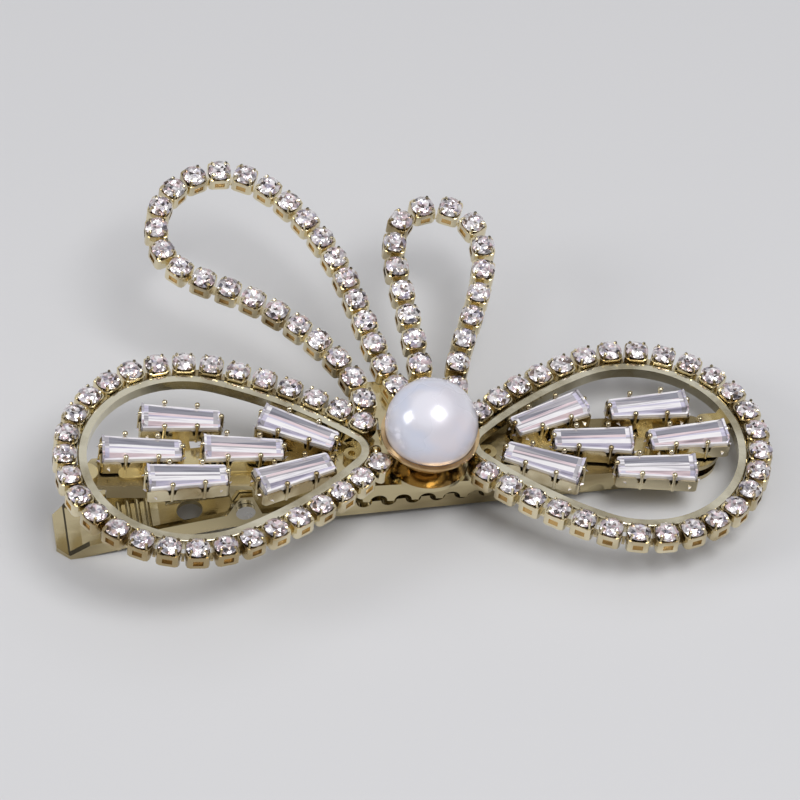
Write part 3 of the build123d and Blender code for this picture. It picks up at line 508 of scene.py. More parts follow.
@dataclass(frozen=True)
class FoiledCrystal:
    """Foil-backed crystal, as small brilliants have: its facets carry painted reflections, glints and shade
    as colours.
    """

    name: str = "foiled_crystal"
    cells: float = 2300.0
    metal: float = 0.55
    gloss: float = 0.07
    sparkle: float = 0.5
    relief: float = 0.2 * MM
    facet_share: float = 0.75
    painted_glint_share: float = 0.7
    coat: tuple[float, float] = (1.0, 0.02)

    def build(self, glints: Group) -> Material:
        """Builds the material.

        Args:
            glints: the shared glint group.

        Returns:
            The finished material.
        """
        material, sheet = new_material(self.name)
        place = sheet.put("ShaderNodeTexCoord").outputs["Object"]
        effect = glints.place(sheet, Place=place, Cells=self.cells)
        # Painted light: the facets' painted reflections and shade are multiplied by the cells' painted
        # reflections, and the painted glints are screened on top.
        facet = sheet.put("ShaderNodeVertexColor", {"layer_name": PAINTED_FACET_LIGHT})
        painted_light = sheet.blend("MULTIPLY", self.facet_share, facet.outputs[0], effect.outputs["Tint"])
        painted_glint = sheet.maths("MULTIPLY", effect.outputs["PaintedGlint"], self.painted_glint_share)
        painted_light = sheet.blend("SCREEN", painted_glint, painted_light, painted_light)
        normal = sheet.bump(effect.outputs["Height"], self.sparkle, self.relief)
        sheet.surface(self.coat, Base_Color=painted_light, Metallic=self.metal, Roughness=self.gloss, Normal=normal)
        return material


@dataclass(frozen=True)
class StepCutCrystal:
    """Clear step-cut crystal: long bright and grey streaks of painted reflection run from its wide to its
    narrow end.
    """

    name: str = "step_cut_crystal"
    streaks: float = 9.0
    streak_long: float = 1.3
    facet_share: float = 0.8
    metal: float = 0.15
    gloss: float = 0.06
    ior: float = 1.6
    relief: float = 0.05 * MM
    coat: tuple[float, float] = (1.0, 0.02)

    def build(self) -> Material:
        """Builds the material and gives it back."""
        material, sheet = new_material(self.name)
        lay = sheet.put("ShaderNodeUVMap", {"uv_map": STREAK_MAP}).outputs[0]
        long_lay = sheet.put("ShaderNodeMapping", Vector=lay, Scale=(self.streak_long, self.streaks, 1.0))
        streak = sheet.put("ShaderNodeTexNoise", Vector=long_lay.outputs[0], Scale=1.0, Detail=4.0)
        ramp = sheet.put("ShaderNodeValToRGB", Fac=streak.outputs[0])
        # Painted reflections: the streaks pick dark grey, white and lilac colours that stand in for light
        # reflected inside the crystal.
        stops = (
            (0.30, (0.30, 0.29, 0.32)),
            (0.40, (0.62, 0.60, 0.66)),
            (0.48, (0.92, 0.90, 0.94)),
            (0.60, (1.0, 1.0, 1.0)),
            (0.70, (0.70, 0.67, 0.76)),
        )
        paint_ramp(ramp, stops)
        facet = sheet.put("ShaderNodeVertexColor", {"layer_name": PAINTED_FACET_LIGHT})
        painted_light = sheet.blend("MULTIPLY", self.facet_share, facet.outputs[0], ramp.outputs[0])
        sheet.surface(
            self.coat,
            Base_Color=painted_light,
            Metallic=self.metal,
            Roughness=self.gloss,
            IOR=self.ior,
            Normal=sheet.bump(streak.outputs[0], 0.25, self.relief),
        )
        return material


@dataclass(frozen=True)
class PearlLacquer:
    """Pearl lacquer over a bead: lilac white, with slow pink and blue clouds under a clear coat."""

    name: str = "pearl_lacquer"
    body: Colour = (0.76, 0.75, 0.82)
    pink: Colour = (0.83, 0.74, 0.78)
    blue: Colour = (0.64, 0.70, 0.86)
    cloud_scale: float = 150.0
    blue_scale: float = 255.0
    skin_scale: float = 2500.0
    skin: float = 0.01 * MM
    metal: float = 0.08
    ior: float = 1.6
    coat: tuple[float, float] = (0.9, 0.13)

    def build(self) -> Material:
        """Builds the material and gives it back."""
        material, sheet = new_material(self.name)
        place = sheet.put("ShaderNodeTexCoord").outputs["Object"]
        slow = sheet.put("ShaderNodeTexNoise", Vector=place, Scale=self.cloud_scale, Detail=2.0)
        other = sheet.put("ShaderNodeTexNoise", Vector=place, Scale=self.blue_scale, Detail=2.0)
        tint = sheet.blend("MIX", sheet.spread(slow.outputs[0], 0.4, 0.7, 0.0, 0.8), self.body, self.pink)
        tint = sheet.blend("MIX", sheet.spread(other.outputs[0], 0.45, 0.7, 0.0, 0.7), tint, self.blue)
        skin = sheet.put("ShaderNodeTexNoise", Vector=place, Scale=self.skin_scale, Detail=2.0)
        sheet.surface(
            self.coat,
            Base_Color=tint,
            Roughness=sheet.spread(slow.outputs[0], 0.3, 0.7, 0.24, 0.34),
            Metallic=self.metal,
            IOR=self.ior,
            Normal=sheet.bump(skin.outputs[0], 0.1, self.skin),
        )
        return material


class PaintedFacetLight(Enum):
    """Painted reflections and painted shade that a facet can show, as colours."""

    WHITE = (0.98, 0.96, 0.96)
    BLUSH = (0.86, 0.70, 0.72)
    LILAC = (0.66, 0.63, 0.76)
    SILVER = (0.48, 0.46, 0.48)
    MIST = (0.27, 0.27, 0.31)
    BROWN = (0.24, 0.18, 0.15)
    DEEP = (0.06, 0.05, 0.05)


# Painted light on the brilliants: mostly white and pink painted reflections, with a few grey and dark facets
# as painted shade.
BRILLIANT_PAINTED_LIGHTS = (
    [PaintedFacetLight.WHITE] * 12
    + [PaintedFacetLight.BLUSH] * 6
    + [PaintedFacetLight.LILAC] * 2
    + [PaintedFacetLight.SILVER] * 2
    + [PaintedFacetLight.MIST]
    + [PaintedFacetLight.BROWN] * 2
    + [PaintedFacetLight.DEEP]
)


def paint_facet_light(mesh: bmesh.types.BMesh, pick: Callable[[bmesh.types.BMFace], PaintedFacetLight]) -> None:
    """Paints each face's light: a painted reflection or painted shade colour.

    Args:
        mesh: the mesh to colour.
        pick: chooses the painted light of a face.
    """
    layer = mesh.loops.layers.float_color.get(PAINTED_FACET_LIGHT) or mesh.loops.layers.float_color.new(PAINTED_FACET_LIGHT)
    for face in mesh.faces:
        painted_light = pick(face).value
        for corner in face.loops:
            corner[layer] = (*painted_light, 1.0)


def height(face: bmesh.types.BMFace) -> float:
    """Gives the height of a face's middle."""
    return face.calc_center_median().z


def as_mesh(name: str, bm: bmesh.types.BMesh) -> Mesh:
    """Turns a worked mesh into a stored one.

    Args:
        name: the stored mesh's name.
        bm: the worked mesh, which is freed.

    Returns:
        The stored mesh.
    """
    mesh = bpy.data.meshes.new(name)
    bm.to_mesh(mesh)
    bm.free()
    return mesh


def add_copy(bm: bmesh.types.BMesh, shape: Mesh, matrix: Matrix) -> None:
    """Adds a copy of a shape to a mesh.

    Args:
        bm: the mesh that gains the copy.
        shape: what is copied.
        matrix: carries the copy to its place.
    """
    before = set(bm.verts)
    bm.from_mesh(shape)
    new = [v for v in bm.verts if v not in before]
    bmesh.ops.transform(bm, matrix=matrix, verts=new)


def score(bm: bmesh.types.BMesh, at: tuple[float, float, float], across: tuple[float, float, float]) -> None:
    """Draws a line round a mesh where a plane meets it.

    Args:
        bm: the mesh.
        at: a point of the plane.
        across: the plane's normal.
    """
    geom = list(bm.faces) + list(bm.edges) + list(bm.verts)
    bmesh.ops.bisect_plane(bm, geom=geom, plane_co=at, plane_no=across, dist=WELD)


def finished_piece(name: str, bm: bmesh.types.BMesh, material: Material) -> Object:
    """Makes an object of a finished mesh.

    Args:
        name: the piece's name.
        bm: its mesh, in place, which is freed.
        material: its finish.

    Returns:
        The new object, at the origin.
    """
    mesh = as_mesh(name, bm)
    mesh.materials.append(material)
    piece = bpy.data.objects.new(name, mesh)
    bpy.context.scene.collection.objects.link(piece)
    return piece


# ---------------- stones
@dataclass
class BrilliantChain:
    """The brilliants of one cup chain, each cut about its girdle and dropped in its cup."""

    node: str
    girdle: float = 1.28 * MM
    table: float = 0.70 * MM
    star: float = 1.01 * MM
    crown: float = 0.45 * MM
    girdle_top: float = 0.05 * MM
    girdle_bottom: float = -0.03 * MM
    pavilion: float = 0.92 * MM
    dish: float = 0.09 * MM
    dish_rim: float = 0.24 * MM
    merge_angle: float = math.radians(1.5)
    wobble: float = 0.035

    def ring(self, bm: bmesh.types.BMesh, count: int, radius: float, height: float, turn: float) -> None:
        """Adds one ring of corners.

        Args:
            bm: the stone's mesh.
            count: number of corners.
            radius: distance of the corners from the axis.
            height: height of the ring.
            turn: angle of the first corner.
        """
        place = Matrix.Translation((0.0, 0.0, height)) @ Matrix.Rotation(turn, 4, "Z")
        bmesh.ops.create_circle(bm, segments=count, radius=radius, matrix=place)

    def cut(self) -> Mesh:
        """Cuts one brilliant: table, stars, kites, girdle and pavilion, from rings of corners.

        Returns:
            The stone about the middle of its girdle.
        """
        bm = bmesh.new()
        eighth = math.pi / 4
        kite_slope = (self.crown - self.girdle_top) / (self.girdle - self.table)
        star_height = self.crown - (self.star * math.cos(eighth / 2) - self.table) * kite_slope
        self.ring(bm, 8, self.table, self.crown, 0.0)
        self.ring(bm, 8, self.star, star_height, eighth / 2)
        self.ring(bm, 16, self.girdle, self.girdle_top, 0.0)
        self.ring(bm, 16, self.girdle, self.girdle_bottom, 0.0)
        bmesh.ops.create_vert(bm, co=(0.0, 0.0, -self.pavilion))
        bmesh.ops.delete(bm, geom=list(bm.edges), context="EDGES_FACES")
        bmesh.ops.convex_hull(bm, input=list(bm.verts))
        verts, edges = list(bm.verts), list(bm.edges)
        bmesh.ops.dissolve_limit(bm, angle_limit=self.merge_angle, verts=verts, edges=edges)
        table = max(bm.faces, key=height)
        bmesh.ops.inset_region(bm, faces=[table], thickness=self.dish_rim, depth=-self.dish / 3)
        table = max((f for f in bm.faces if len(f.verts) == 8), key=height)
        middle = bmesh.ops.poke(bm, faces=[table])["verts"]
        bmesh.ops.translate(bm, verts=middle, vec=(0.0, 0.0, -self.dish))
        bmesh.ops.recalc_face_normals(bm, faces=list(bm.faces))
        return as_mesh("brilliant", bm)

    def build(self, finish: Material, chance: random.Random) -> Object:
        """Sets a brilliant in each cup of the chain.

        Args:
            finish: the stones' material.
            chance: seeded source of each stone's spin and of the painted reflections and shade on its
                facets.

        Returns:
            The chain's stones as one piece.
        """
        stone = self.cut()
        chain = bmesh.new()
        for seat in seats(self.node):
            spin = Matrix.Rotation(chance.uniform(0.0, math.tau), 4, "Z")
            roll = Matrix.Rotation(chance.gauss(0.0, self.wobble), 4, "X")
            pitch = Matrix.Rotation(chance.gauss(0.0, self.wobble), 4, "Y")
            add_copy(chain, stone, seat.matrix(self.crown) @ roll @ pitch @ spin)
        bpy.data.meshes.remove(stone)
        # Painted light: each facet gets a random painted reflection or painted shade colour.
        paint_facet_light(chain, lambda face: chance.choice(BRILLIANT_PAINTED_LIGHTS))
        piece = finished_piece(self.node.replace("stones", "brilliants"), chain, finish)
        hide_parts(self.node)
        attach(piece, BOW_BODY)
        return piece


@dataclass
class CupChain:
    """The stamped cups of one chain, each with four claws bent over its stone."""

    node: str
    cup: float = 2.54 * MM
    corner: float = 0.46 * MM
    wall: float = 0.14 * MM
    rim: float = 1.62 * MM
    seat_deep: float = 0.7 * MM
    window: tuple[float, float] = (1.1 * MM, 0.72 * MM)
    window_deep: float = 0.28 * MM
    window_at: float = 0.46
    claw_root: float = 1.40 * MM
    claw_tip: float = 1.10 * MM
    claw_wide: float = 0.22 * MM
    claw_low: float = 1.25 * MM
    claw_high: float = 2.18 * MM
    claw_taper: float = 0.72
    claw_bead: float = 0.95

    def stamp(self) -> bmesh.types.BMesh:
        """Stamps the cup's square body with its open top and a window in each long side.

        Returns:
            The body on its underside, x along the chain.
        """
        bm = bmesh.new()
        bmesh.ops.create_cube(bm, size=1.0)
        bmesh.ops.scale(bm, vec=(self.cup, self.cup, self.rim), verts=bm.verts)
        bmesh.ops.translate(bm, vec=(0.0, 0.0, self.rim / 2), verts=bm.verts)
        uprights = [e for e in bm.edges if abs(e.verts[0].co.z - e.verts[1].co.z) > self.rim / 2]
        bmesh.ops.bevel(
            bm, geom=uprights, offset=self.corner, segments=2, profile=0.5, affect="EDGES", material=-1
        )
        mouth = max(bm.faces, key=height)
        bmesh.ops.inset_region(bm, faces=[mouth], thickness=self.wall, use_even_offset=True)
        mouth = max(bm.faces, key=lambda f: (round(height(f), 7), len(f.verts)))
        down = bmesh.ops.extrude_discrete_faces(bm, faces=[mouth])["faces"][0]
        bmesh.ops.translate(bm, vec=(0.0, 0.0, -self.seat_deep), verts=list(down.verts))
        for way in (-1.0, 1.0):
            side = max(bm.faces, key=lambda f: f.calc_center_median().y * way)
            bmesh.ops.inset_region(bm, faces=[side], thickness=self.wall, use_even_offset=True)
            facing = [f for f in bm.faces if f.normal.y * way > FACING_ENOUGH]
            central = [f for f in facing if abs(f.calc_center_median().x) < CENTRAL_ENOUGH]
            side = max(central, key=lambda f: -abs(height(f) - self.rim / 2))
            wide, tall = self.window
            for vert in side.verts:
                vert.co.x = math.copysign(wide / 2, vert.co.x)
                vert.co.z = self.rim * self.window_at + math.copysign(tall / 2, vert.co.z - self.rim / 2)
            panel = bmesh.ops.extrude_discrete_faces(bm, faces=[side])["faces"][0]
            bmesh.ops.translate(bm, vec=(0.0, -way * self.window_deep, 0.0), verts=list(panel.verts))
            panel.material_index = 1
        return bm

    def bend_claws(self, bm: bmesh.types.BMesh) -> None:
        """Adds the four claws, each a tapered wire that leans in over the stone and ends in a bead.

        Args:
            bm: the cup's body, which gains the claws.
        """
        for turn in range(4):
            about = Matrix.Rotation(math.pi / 4 + turn * math.pi / 2, 4, "Z")
            root = Vector((self.claw_root, 0.0, self.claw_low))
            tip = Vector((self.claw_tip, 0.0, self.claw_high))
            way = tip - root
            lean = way.to_track_quat("Z", "Y").to_matrix().to_4x4()
            place = about @ Matrix.Translation((root + tip) / 2) @ lean
            bmesh.ops.create_cone(
                bm,
                cap_ends=False,
                segments=5,
                radius1=self.claw_wide,
                radius2=self.claw_wide * self.claw_taper,
                depth=way.length,
                matrix=place,
            )
            bead = about @ Matrix.Translation(tip) @ lean
            ball = self.claw_wide * self.claw_bead
            bmesh.ops.create_icosphere(bm, subdivisions=1, radius=ball, matrix=bead)

    def build(self, finish: Material, lining: Material) -> Object:
        """Stands a cup under each stone of the chain.

        Args:
            finish: the cups' plating.
            lining: the warmer gold that shows in their windows.

        Returns:
            The chain's cups as one piece.
        """
        cup = self.stamp()
        self.bend_claws(cup)
        bmesh.ops.recalc_face_normals(cup, faces=list(cup.faces))
        shape = as_mesh("cup", cup)
        chain = bmesh.new()
        for seat in seats(self.node, foot_of):
            add_copy(chain, shape, seat.matrix(0.0))
        bpy.data.meshes.remove(shape)
        piece = finished_piece(self.node.replace("cups", "claw_cups"), chain, finish)
        piece.data.materials.append(lining)
        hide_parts(self.node)
        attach(piece, BOW_BODY)
        return piece


@dataclass
class Baguette:
    """One tapered step-cut baguette."""

    node: str
    long: float = 8.5 * MM
    wide: float = 3.5 * MM
    narrow: float = 2.5 * MM
    girdle_low: float = -1.0 * MM
    girdle_high: float = -0.45 * MM
    table: float = 0.3 * MM
    corner: float = 0.2 * MM
    end_facet: float = 0.75 * MM
    slant: float = 0.11
    slant_at: float = 0.3
    crown_steps: tuple[tuple[float, float], ...] = ((0.26 * MM, 0.62), (0.26 * MM, 0.38))
    pavilion_steps: tuple[tuple[float, float], ...] = ((0.45 * MM, 0.40 * MM), (0.40 * MM, 0.30 * MM))
    flat_enough: float = 0.98
    end_lean: float = 0.3
    end_middle: float = 0.6
    scatter: float = 0.03
    streak_shift: float = 40.0
    # Painted light across the crystal, from its front long edge (-1) to its back one (1): white and lilac
    # bands as painted reflections, a darker grey band towards the back as painted shade.
    strips: tuple[tuple[float, tuple[PaintedFacetLight, ...]], ...] = (
        (-0.86, (PaintedFacetLight.WHITE,)),
        (-0.62, (PaintedFacetLight.LILAC, PaintedFacetLight.BLUSH)),
        (-0.22, (PaintedFacetLight.WHITE,)),
        (-0.08, (PaintedFacetLight.LILAC, PaintedFacetLight.SILVER)),
        (0.14, (PaintedFacetLight.WHITE, PaintedFacetLight.BLUSH)),
        (0.66, (PaintedFacetLight.MIST, PaintedFacetLight.MIST, PaintedFacetLight.SILVER)),
        (0.86, (PaintedFacetLight.LILAC, PaintedFacetLight.SILVER)),
        (2.0, (PaintedFacetLight.WHITE,)),
    )

    def half_width(self, x: float) -> float:
        """Gives half the outline's width at x along the stone."""
        share = 0.5 + x / self.long
        return (self.wide + (self.narrow - self.wide) * share) / 2

    def blank(self) -> bmesh.types.BMesh:
        """Makes the girdle's slab with its corners taken off.

        Returns:
            The slab about the stone's middle, x from the wide to the narrow end.
        """
        bm = bmesh.new()
        bmesh.ops.create_cube(bm, size=1.0)
        bmesh.ops.scale(bm, vec=(self.long, 1.0, self.girdle_high - self.girdle_low), verts=bm.verts)
        bmesh.ops.translate(bm, vec=(0.0, 0.0, (self.girdle_high + self.girdle_low) / 2), verts=bm.verts)
        for vert in bm.verts:
            vert.co.y = math.copysign(self.half_width(vert.co.x), vert.co.y)
        uprights = [e for e in bm.edges if abs(e.verts[0].co.z - e.verts[1].co.z) > 0.1 * MM]
        bmesh.ops.bevel(
            bm, geom=uprights, offset=self.corner, segments=1, profile=0.5, affect="EDGES", material=-1
        )
        return bm

    def step(self, bm: bmesh.types.BMesh, up: float, inwards: float, rise: float) -> None:
        """Cuts one step at the top or the bottom.

        The rim's end facets tie with the flat inside it, and the tie isn't always won by the flat.
        At the crown the facet at the wide end moves, so the crown slopes down to the narrow end.

        Args:
            bm: the stone.
            up: 1 for the crown, -1 for the pavilion.
            inwards: how far the step runs in.
            rise: how far it goes up or down.
        """
        face = max(bm.faces, key=lambda f: height(f) * up)
        bmesh.ops.inset_region(bm, faces=[face], thickness=inwards, use_even_offset=True)
        face = max(bm.faces, key=lambda f: (round(height(f) * up, 7), -abs(f.calc_center_median().y)))
        bmesh.ops.translate(bm, vec=(0.0, 0.0, rise * up), verts=list(face.verts))

    def cut(self, back: float) -> bmesh.types.BMesh:
        """Cuts the stone: two steps at the crown, two at the pavilion, then strips and end facets.

        Args:
            back: 1 if the stone's y runs to the back of the clip, -1 if to the front.

        Returns:
            The stone about its middle.
        """
        bm = self.blank()
        crown = self.table - self.girdle_high
        for inwards, share in self.crown_steps:
            self.step(bm, 1.0, inwards, crown * share)
        for inwards, drop in self.pavilion_steps:
            self.step(bm, -1.0, inwards, drop)
        for share, _ in self.strips[:-1]:
            self.split(bm, share * back, 0.0)
        self.split(bm, self.slant_at * back, self.slant * back)
        for end in (-1.0, 1.0):
            score(bm, (end * (self.long / 2 - self.end_facet), 0.0, 0.0), (1.0, 0.0, 0.0))
        bmesh.ops.recalc_face_normals(bm, faces=list(bm.faces))
        return bm

    def split(self, bm: bmesh.types.BMesh, share: float, lean: float) -> None:
        """Draws a line along the whole stone that narrows with it.

        Args:
            bm: the stone.
            share: where the line runs, from -1 at one long edge to 1 at the other.
            lean: how much more steeply it runs than the stone narrows.
        """
        slope = share * (self.narrow - self.wide) / 2 / self.long + lean
        score(bm, (0.0, share * self.half_width(0.0), 0.0), (-slope, 1.0, 0.0))

    def painted_light(self, face: bmesh.types.BMFace, back: float, chance: random.Random) -> PaintedFacetLight:
        """Chooses a facet's painted light by the strip that it lies on: painted reflections, with a darker
        grey band towards the back of the clip as painted shade.

        Args:
            face: the facet, in the stone's own frame.
            back: 1 if the stone's y runs to the back of the clip, -1 if to the front.
            chance: seeded source of the small differences.

        Returns:
            The facet's painted light.
        """
        middle = face.calc_center_median()
        share = middle.y * back / self.half_width(middle.x) + chance.gauss(0.0, self.scatter)
        # Painted reflections on the slanted end facets.
        if face.normal.z < self.flat_enough and abs(face.normal.x) > self.end_lean:
            return chance.choice((PaintedFacetLight.SILVER, PaintedFacetLight.WHITE, PaintedFacetLight.LILAC))
        if abs(middle.x) > self.long / 2 - self.end_facet and abs(share) < self.end_middle:
            return chance.choice((PaintedFacetLight.LILAC, PaintedFacetLight.SILVER, PaintedFacetLight.WHITE))
        for limit, tones in self.strips:
            if share < limit:
                return chance.choice(tones)
        return PaintedFacetLight.WHITE

    def build(self, finish: Material, chance: random.Random) -> Object:
        """Cuts the stone and drops it in its setting.

        Args:
            finish: its material.
            chance: seeded source of its small differences.

        Returns:
            The finished piece.
        """
        seat = seats(self.node)[0]
        back = 1.0 if (seat.matrix(0.0).to_3x3() @ Vector((0.0, 1.0, 0.0))).y > 0 else -1.0
        bm = self.cut(back)
        # Painted light: each facet gets its painted reflection or painted shade colour.
        paint_facet_light(bm, lambda face: self.painted_light(face, back, chance))
        lay = bm.loops.layers.uv.new(STREAK_MAP)
        shift = chance.uniform(0.0, self.streak_shift)
        for face in bm.faces:
            for corner in face.loops:
                place = corner.vert.co
                fan = place.y / self.half_width(place.x)
                corner[lay].uv = (place.x / self.long + shift, fan / 2 + shift)
        bmesh.ops.transform(bm, matrix=seat.matrix(self.table), verts=bm.verts)
        piece = finished_piece(self.node.replace("baguette", "crystal"), bm, finish)
        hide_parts(self.node)
        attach(piece, BOW_BODY)
        return piece


@dataclass
class Pearl:
    """The pearl at the knot."""

    node: str = "pearl"
    radius: float = 5.0 * MM

    def build(self, finish: Material) -> Object:
        """Turns the pearl about the middle of the one in the frame.

        Args:
            finish: its material.

        Returns:
            The finished piece.
        """
        low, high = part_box(self.node)
        bm = bmesh.new()
        bmesh.ops.create_uvsphere(bm, u_segments=96, v_segments=64, radius=self.radius)
        bmesh.ops.translate(bm, vec=(low + high) / 2, verts=bm.verts)
        for face in bm.faces:
            face.smooth = True
        piece = finished_piece("pearl_bead", bm, finish)
        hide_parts(self.node)
        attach(piece, BOW_BODY)
        return piece


# ---------------- spring
@dataclass
class TorsionSpring:
    """The wire spring round the pin, with one leg on each arm."""

    node: str = "torsion_spring"
    wire: float = 0.3 * MM
    coil: float = 1.25 * MM
    turns: int = 2
    sides: int = 16
    steps_per_turn: int = 48
    leg_end: float = 1.0 * MM
    blend_reach: float = 1.0 * MM

    def leg_ends(self) -> tuple[Vector, Vector]:
        """Finds the middles of the cut ends of the upper and the lower leg."""
        bm = merged_copy(self.node)
        tail = min(v.co.x for v in bm.verts)
        near_end = [v.co.copy() for v in bm.verts if v.co.x < tail + self.leg_end]
        middle = sum((p.z for p in near_end)) / len(near_end)
        bm.free()
        ends = []
        for keep in ([p for p in near_end if p.z > middle], [p for p in near_end if p.z < middle]):
            ends.append(sum(keep, Vector()) / len(keep))
        return ends[0], ends[1]

    def build(self, finish: Material) -> Object:
        """Winds the coil and pulls out its legs.

        Args:
            finish: its material.

        Returns:
            The finished piece, wound between the two arms.
        """
        pivot = Vector(frame["joints"][0]["pos_m"])
        upper, lower = self.leg_ends()
        touch = []
        for end, sign in ((upper, -1.0), (lower, 1.0)):
            away = end - pivot
            swing = math.acos(self.coil / math.hypot(away.x, away.z))
            touch.append(math.atan2(away.z, away.x) + sign * swing)
        sweep = touch[0] - touch[1] + self.turns * math.tau
        steps = round(sweep / math.tau * self.steps_per_turn)
        bm = bmesh.new()
        start = Vector(
            (pivot.x + self.coil * math.cos(touch[0]), upper.y, pivot.z + self.coil * math.sin(touch[0]))
        )
        heading = Vector((math.sin(touch[0]), 0.0, -math.cos(touch[0])))
        facing = heading.to_track_quat("Z", "Y").to_matrix().to_4x4()
        bmesh.ops.create_circle(
            bm, segments=self.sides, radius=self.wire, matrix=Matrix.Translation(start) @ facing
        )
        first = list(bm.edges)
        drift = Vector((0.0, (lower.y - upper.y) / steps, 0.0))
        wound = bmesh.ops.spin(
            bm,
            geom=first,
            cent=pivot,
            axis=(0.0, 1.0, 0.0),
            dvec=drift,
            angle=sweep,
            steps=steps,
            use_merge=False,
        )
        last = [g for g in wound["geom_last"] if isinstance(g, bmesh.types.BMEdge)]
        finish_at = Vector(
            (pivot.x + self.coil * math.cos(touch[1]), lower.y, pivot.z + self.coil * math.sin(touch[1]))
        )
        for ring, leg in ((first, upper - start), (last, lower - finish_at)):
            pulled = bmesh.ops.extrude_edge_only(bm, edges=ring)["geom"]
            moved = [g for g in pulled if isinstance(g, bmesh.types.BMVert)]
            bmesh.ops.translate(bm, vec=leg, verts=moved)
        bmesh.ops.remove_doubles(bm, verts=bm.verts, dist=WELD)
        bmesh.ops.holes_fill(bm, edges=[e for e in bm.edges if e.is_boundary], sides=0)
        bmesh.ops.recalc_face_normals(bm, faces=list(bm.faces))
        for face in bm.faces:
            face.smooth = len(face.verts) == 4
        piece = finished_piece("spring_wire", bm, finish)
        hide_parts(self.node)
        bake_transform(piece)
        return piece


# ---------------- plated metal of the frame
@dataclass
class MetalWork:
    """The frame's own metal pieces, each given its plating."""

    champagne: Material
    rail: Material
    pale: Material
    gold: Material
    rim: Material
    steel: Material

    def finish_of(self, node: str) -> Material | None:
        """Chooses the plating of a node.

        Args:
            node: the node's name.

        Returns:
            Its plating, or none where a new piece stands for it.
        """
        if node.endswith("arm") or node == "pearl_foot":
            return self.champagne
        if node.endswith("wing_frame"):
            return self.rail
        if node in ("hinge_pin", "torsion_spring"):
            return self.steel
        if node == "pearl_cup":
            return self.rim
        if node.endswith("links") or "setting" in node:
            return self.pale
        if node.endswith(("carrier", "tab", "rivet")):
            return self.gold
        return None

    def dress(self) -> None:
        """Gives each metal node its plating."""
        for name, node in frame["nodes"].items():
            finish = self.finish_of(name)
            if finish is None:
                continue
            node.data.materials.clear()
            node.data.materials.append(finish)
            log.info("plated %s with %s", name, finish.name)


# ---------------- studio
@dataclass(frozen=True)
class SoftBox:
    """A soft lamp that hangs round the clip."""

    name: str
    azimuth: float
    elevation: float
    distance: float
    size: float
    power: float

    def hang(self, middle: Vector) -> Object:
        """Hangs the lamp and turns it to the clip.

        Args:
            middle: what the lamp looks at.

        Returns:
            The lamp.
        """
        lamp = bpy.data.lights.new(self.name, "AREA")
        lamp.shape = "SQUARE"
        lamp.size = self.size
        lamp.energy = self.power
        thing = bpy.data.objects.new(self.name, lamp)
        round_z, up = math.radians(self.azimuth), math.radians(self.elevation)
        way = Vector((math.cos(up) * math.cos(round_z), math.cos(up) * math.sin(round_z), math.sin(up)))
        thing.location = middle + way * self.distance
        thing.rotation_euler = way.to_track_quat("Z", "Y").to_euler()
        bpy.context.scene.collection.objects.link(thing)
        return thing


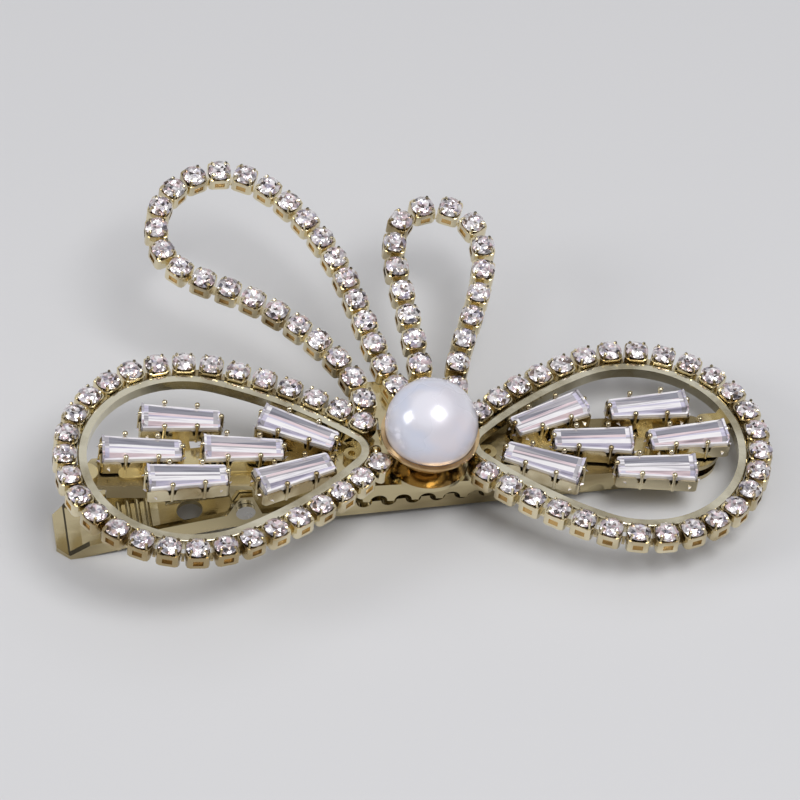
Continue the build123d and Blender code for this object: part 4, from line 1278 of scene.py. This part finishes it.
@dataclass(frozen=True)
class Studio:
    """A pale table top, soft lamps, an even sky and the camera."""

    table: float = 3.0
    table_colour: Colour = (0.64, 0.64, 0.65)
    table_rough: float = 0.75
    table_grain: float = 900.0
    table_relief: float = 0.05 * MM
    aim: tuple[float, float, float] = (-0.4 * MM, -5.1 * MM, 8.84 * MM)
    view_way: tuple[float, float, float] = (0.1014, 0.6548, -0.7490)
    view_distance: float = 512.6 * MM
    lens: float = 212.9
    sensor: float = 36.0

    def lay_table(self) -> None:
        """Lays the table top that the clip lies on."""
        bm = bmesh.new()
        bmesh.ops.create_grid(bm, x_segments=1, y_segments=1, size=self.table / 2)
        mesh = as_mesh("table_top", bm)
        material, sheet = new_material("pale_paper")
        place = sheet.put("ShaderNodeTexCoord").outputs["Object"]
        grain = sheet.put("ShaderNodeTexNoise", Vector=place, Scale=self.table_grain, Detail=3.0)
        normal = sheet.bump(grain.outputs[0], 0.1, self.table_relief)
        sheet.surface(Base_Color=self.table_colour, Roughness=self.table_rough, Normal=normal)
        mesh.materials.append(material)
        top = bpy.data.objects.new("table_top", mesh)
        bpy.context.scene.collection.objects.link(top)

    def raise_sky(self) -> None:
        """Makes the sky: pale at the horizon, darker half way up and bright overhead."""
        world = bpy.data.worlds.new("studio_sky")
        bpy.context.scene.world = world
        world.use_nodes = True
        sheet = Sheet(world.node_tree)
        way = sheet.put("ShaderNodeTexCoord").outputs["Generated"]
        height = sheet.put("ShaderNodeSeparateXYZ", Vector=way).outputs["Z"]
        ramp = sheet.put("ShaderNodeValToRGB", Fac=sheet.spread(height, -1.0, 1.0, 0.0, 1.0))
        stops = (
            (0.0, (0.42, 0.42, 0.42)),
            (0.50, (0.55, 0.55, 0.56)),
            (0.58, (0.34, 0.34, 0.35)),
            (0.64, (0.09, 0.09, 0.10)),
            (0.80, (0.06, 0.06, 0.07)),
            (0.85, (0.62, 0.62, 0.63)),
            (0.92, (0.66, 0.66, 0.68)),
        )
        paint_ramp(ramp, stops)
        sky = sheet.put("ShaderNodeBackground", Color=ramp.outputs[0], Strength=1.0)
        sheet.put("ShaderNodeOutputWorld", Surface=sky.outputs[0])

    def set_camera(self) -> None:
        """Sets the camera that looks at the clip from the front and above."""
        lens = bpy.data.cameras.new("camera")
        lens.lens = self.lens
        lens.sensor_width = self.sensor
        lens.clip_start = 0.01
        camera = bpy.data.objects.new("camera", lens)
        way = Vector(self.view_way).normalized()
        camera.location = Vector(self.aim) - way * self.view_distance
        camera.rotation_euler = way.to_track_quat("-Z", "Y").to_euler()
        bpy.context.scene.collection.objects.link(camera)
        bpy.context.scene.camera = camera

    def open(self) -> None:
        """Sets up the table, the sky, the lamps and the camera."""
        middle = Vector(self.aim)
        self.lay_table()
        self.raise_sky()
        SoftBox("key", -47.0, 67.0, 0.55, 0.28, 1.7).hang(middle)
        SoftBox("side", 179.0, 31.0, 0.55, 0.22, 0.8).hang(middle)
        self.set_camera()
        bpy.context.scene.view_settings.view_transform = "Standard"


# ---------------- the clip
def build_clip() -> None:
    """Dresses the whole clip, sub-assembly by sub-assembly."""
    chance = random.Random(SEED)
    plating = build_plating_group()
    glints = build_glint_group()
    metal = MetalWork(
        champagne=CHAMPAGNE_PLATE.build(plating),
        rail=RAIL_PLATE.build(plating),
        pale=PALE_GOLD_PLATE.build(plating),
        gold=WARM_GOLD_PLATE.build(plating),
        rim=ORANGE_GOLD_PLATE.build(plating),
        steel=BRIGHT_WIRE.build(plating),
    )
    metal.dress()
    foiled = FoiledCrystal().build(glints)
    for name in ("left_wing_stones", "right_wing_stones", "big_ear_stones", "small_ear_stones"):
        piece = BrilliantChain(name).build(foiled, chance)
        log.info("set %s", piece.name)
    for name in ("left_wing_cups", "right_wing_cups", "big_ear_cups", "small_ear_cups"):
        piece = CupChain(name).build(metal.pale, metal.rim)
        log.info("stood %s", piece.name)
    clear = StepCutCrystal().build()
    for side in ("left", "right"):
        for number in range(1, 7):
            piece = Baguette(f"{side}_baguette_{number}").build(clear, chance)
            log.info("set %s", piece.name)
    log.info("seated %s", Pearl().build(PearlLacquer().build()).name)
    log.info("wound %s", TorsionSpring().build(metal.steel).name)


def main() -> None:
    """Builds the studio and the clip."""
    logging.basicConfig(level=logging.INFO, format="%(name)s: %(message)s")
    Studio().open()
    build_clip()


if __name__ == "__main__":
    main()
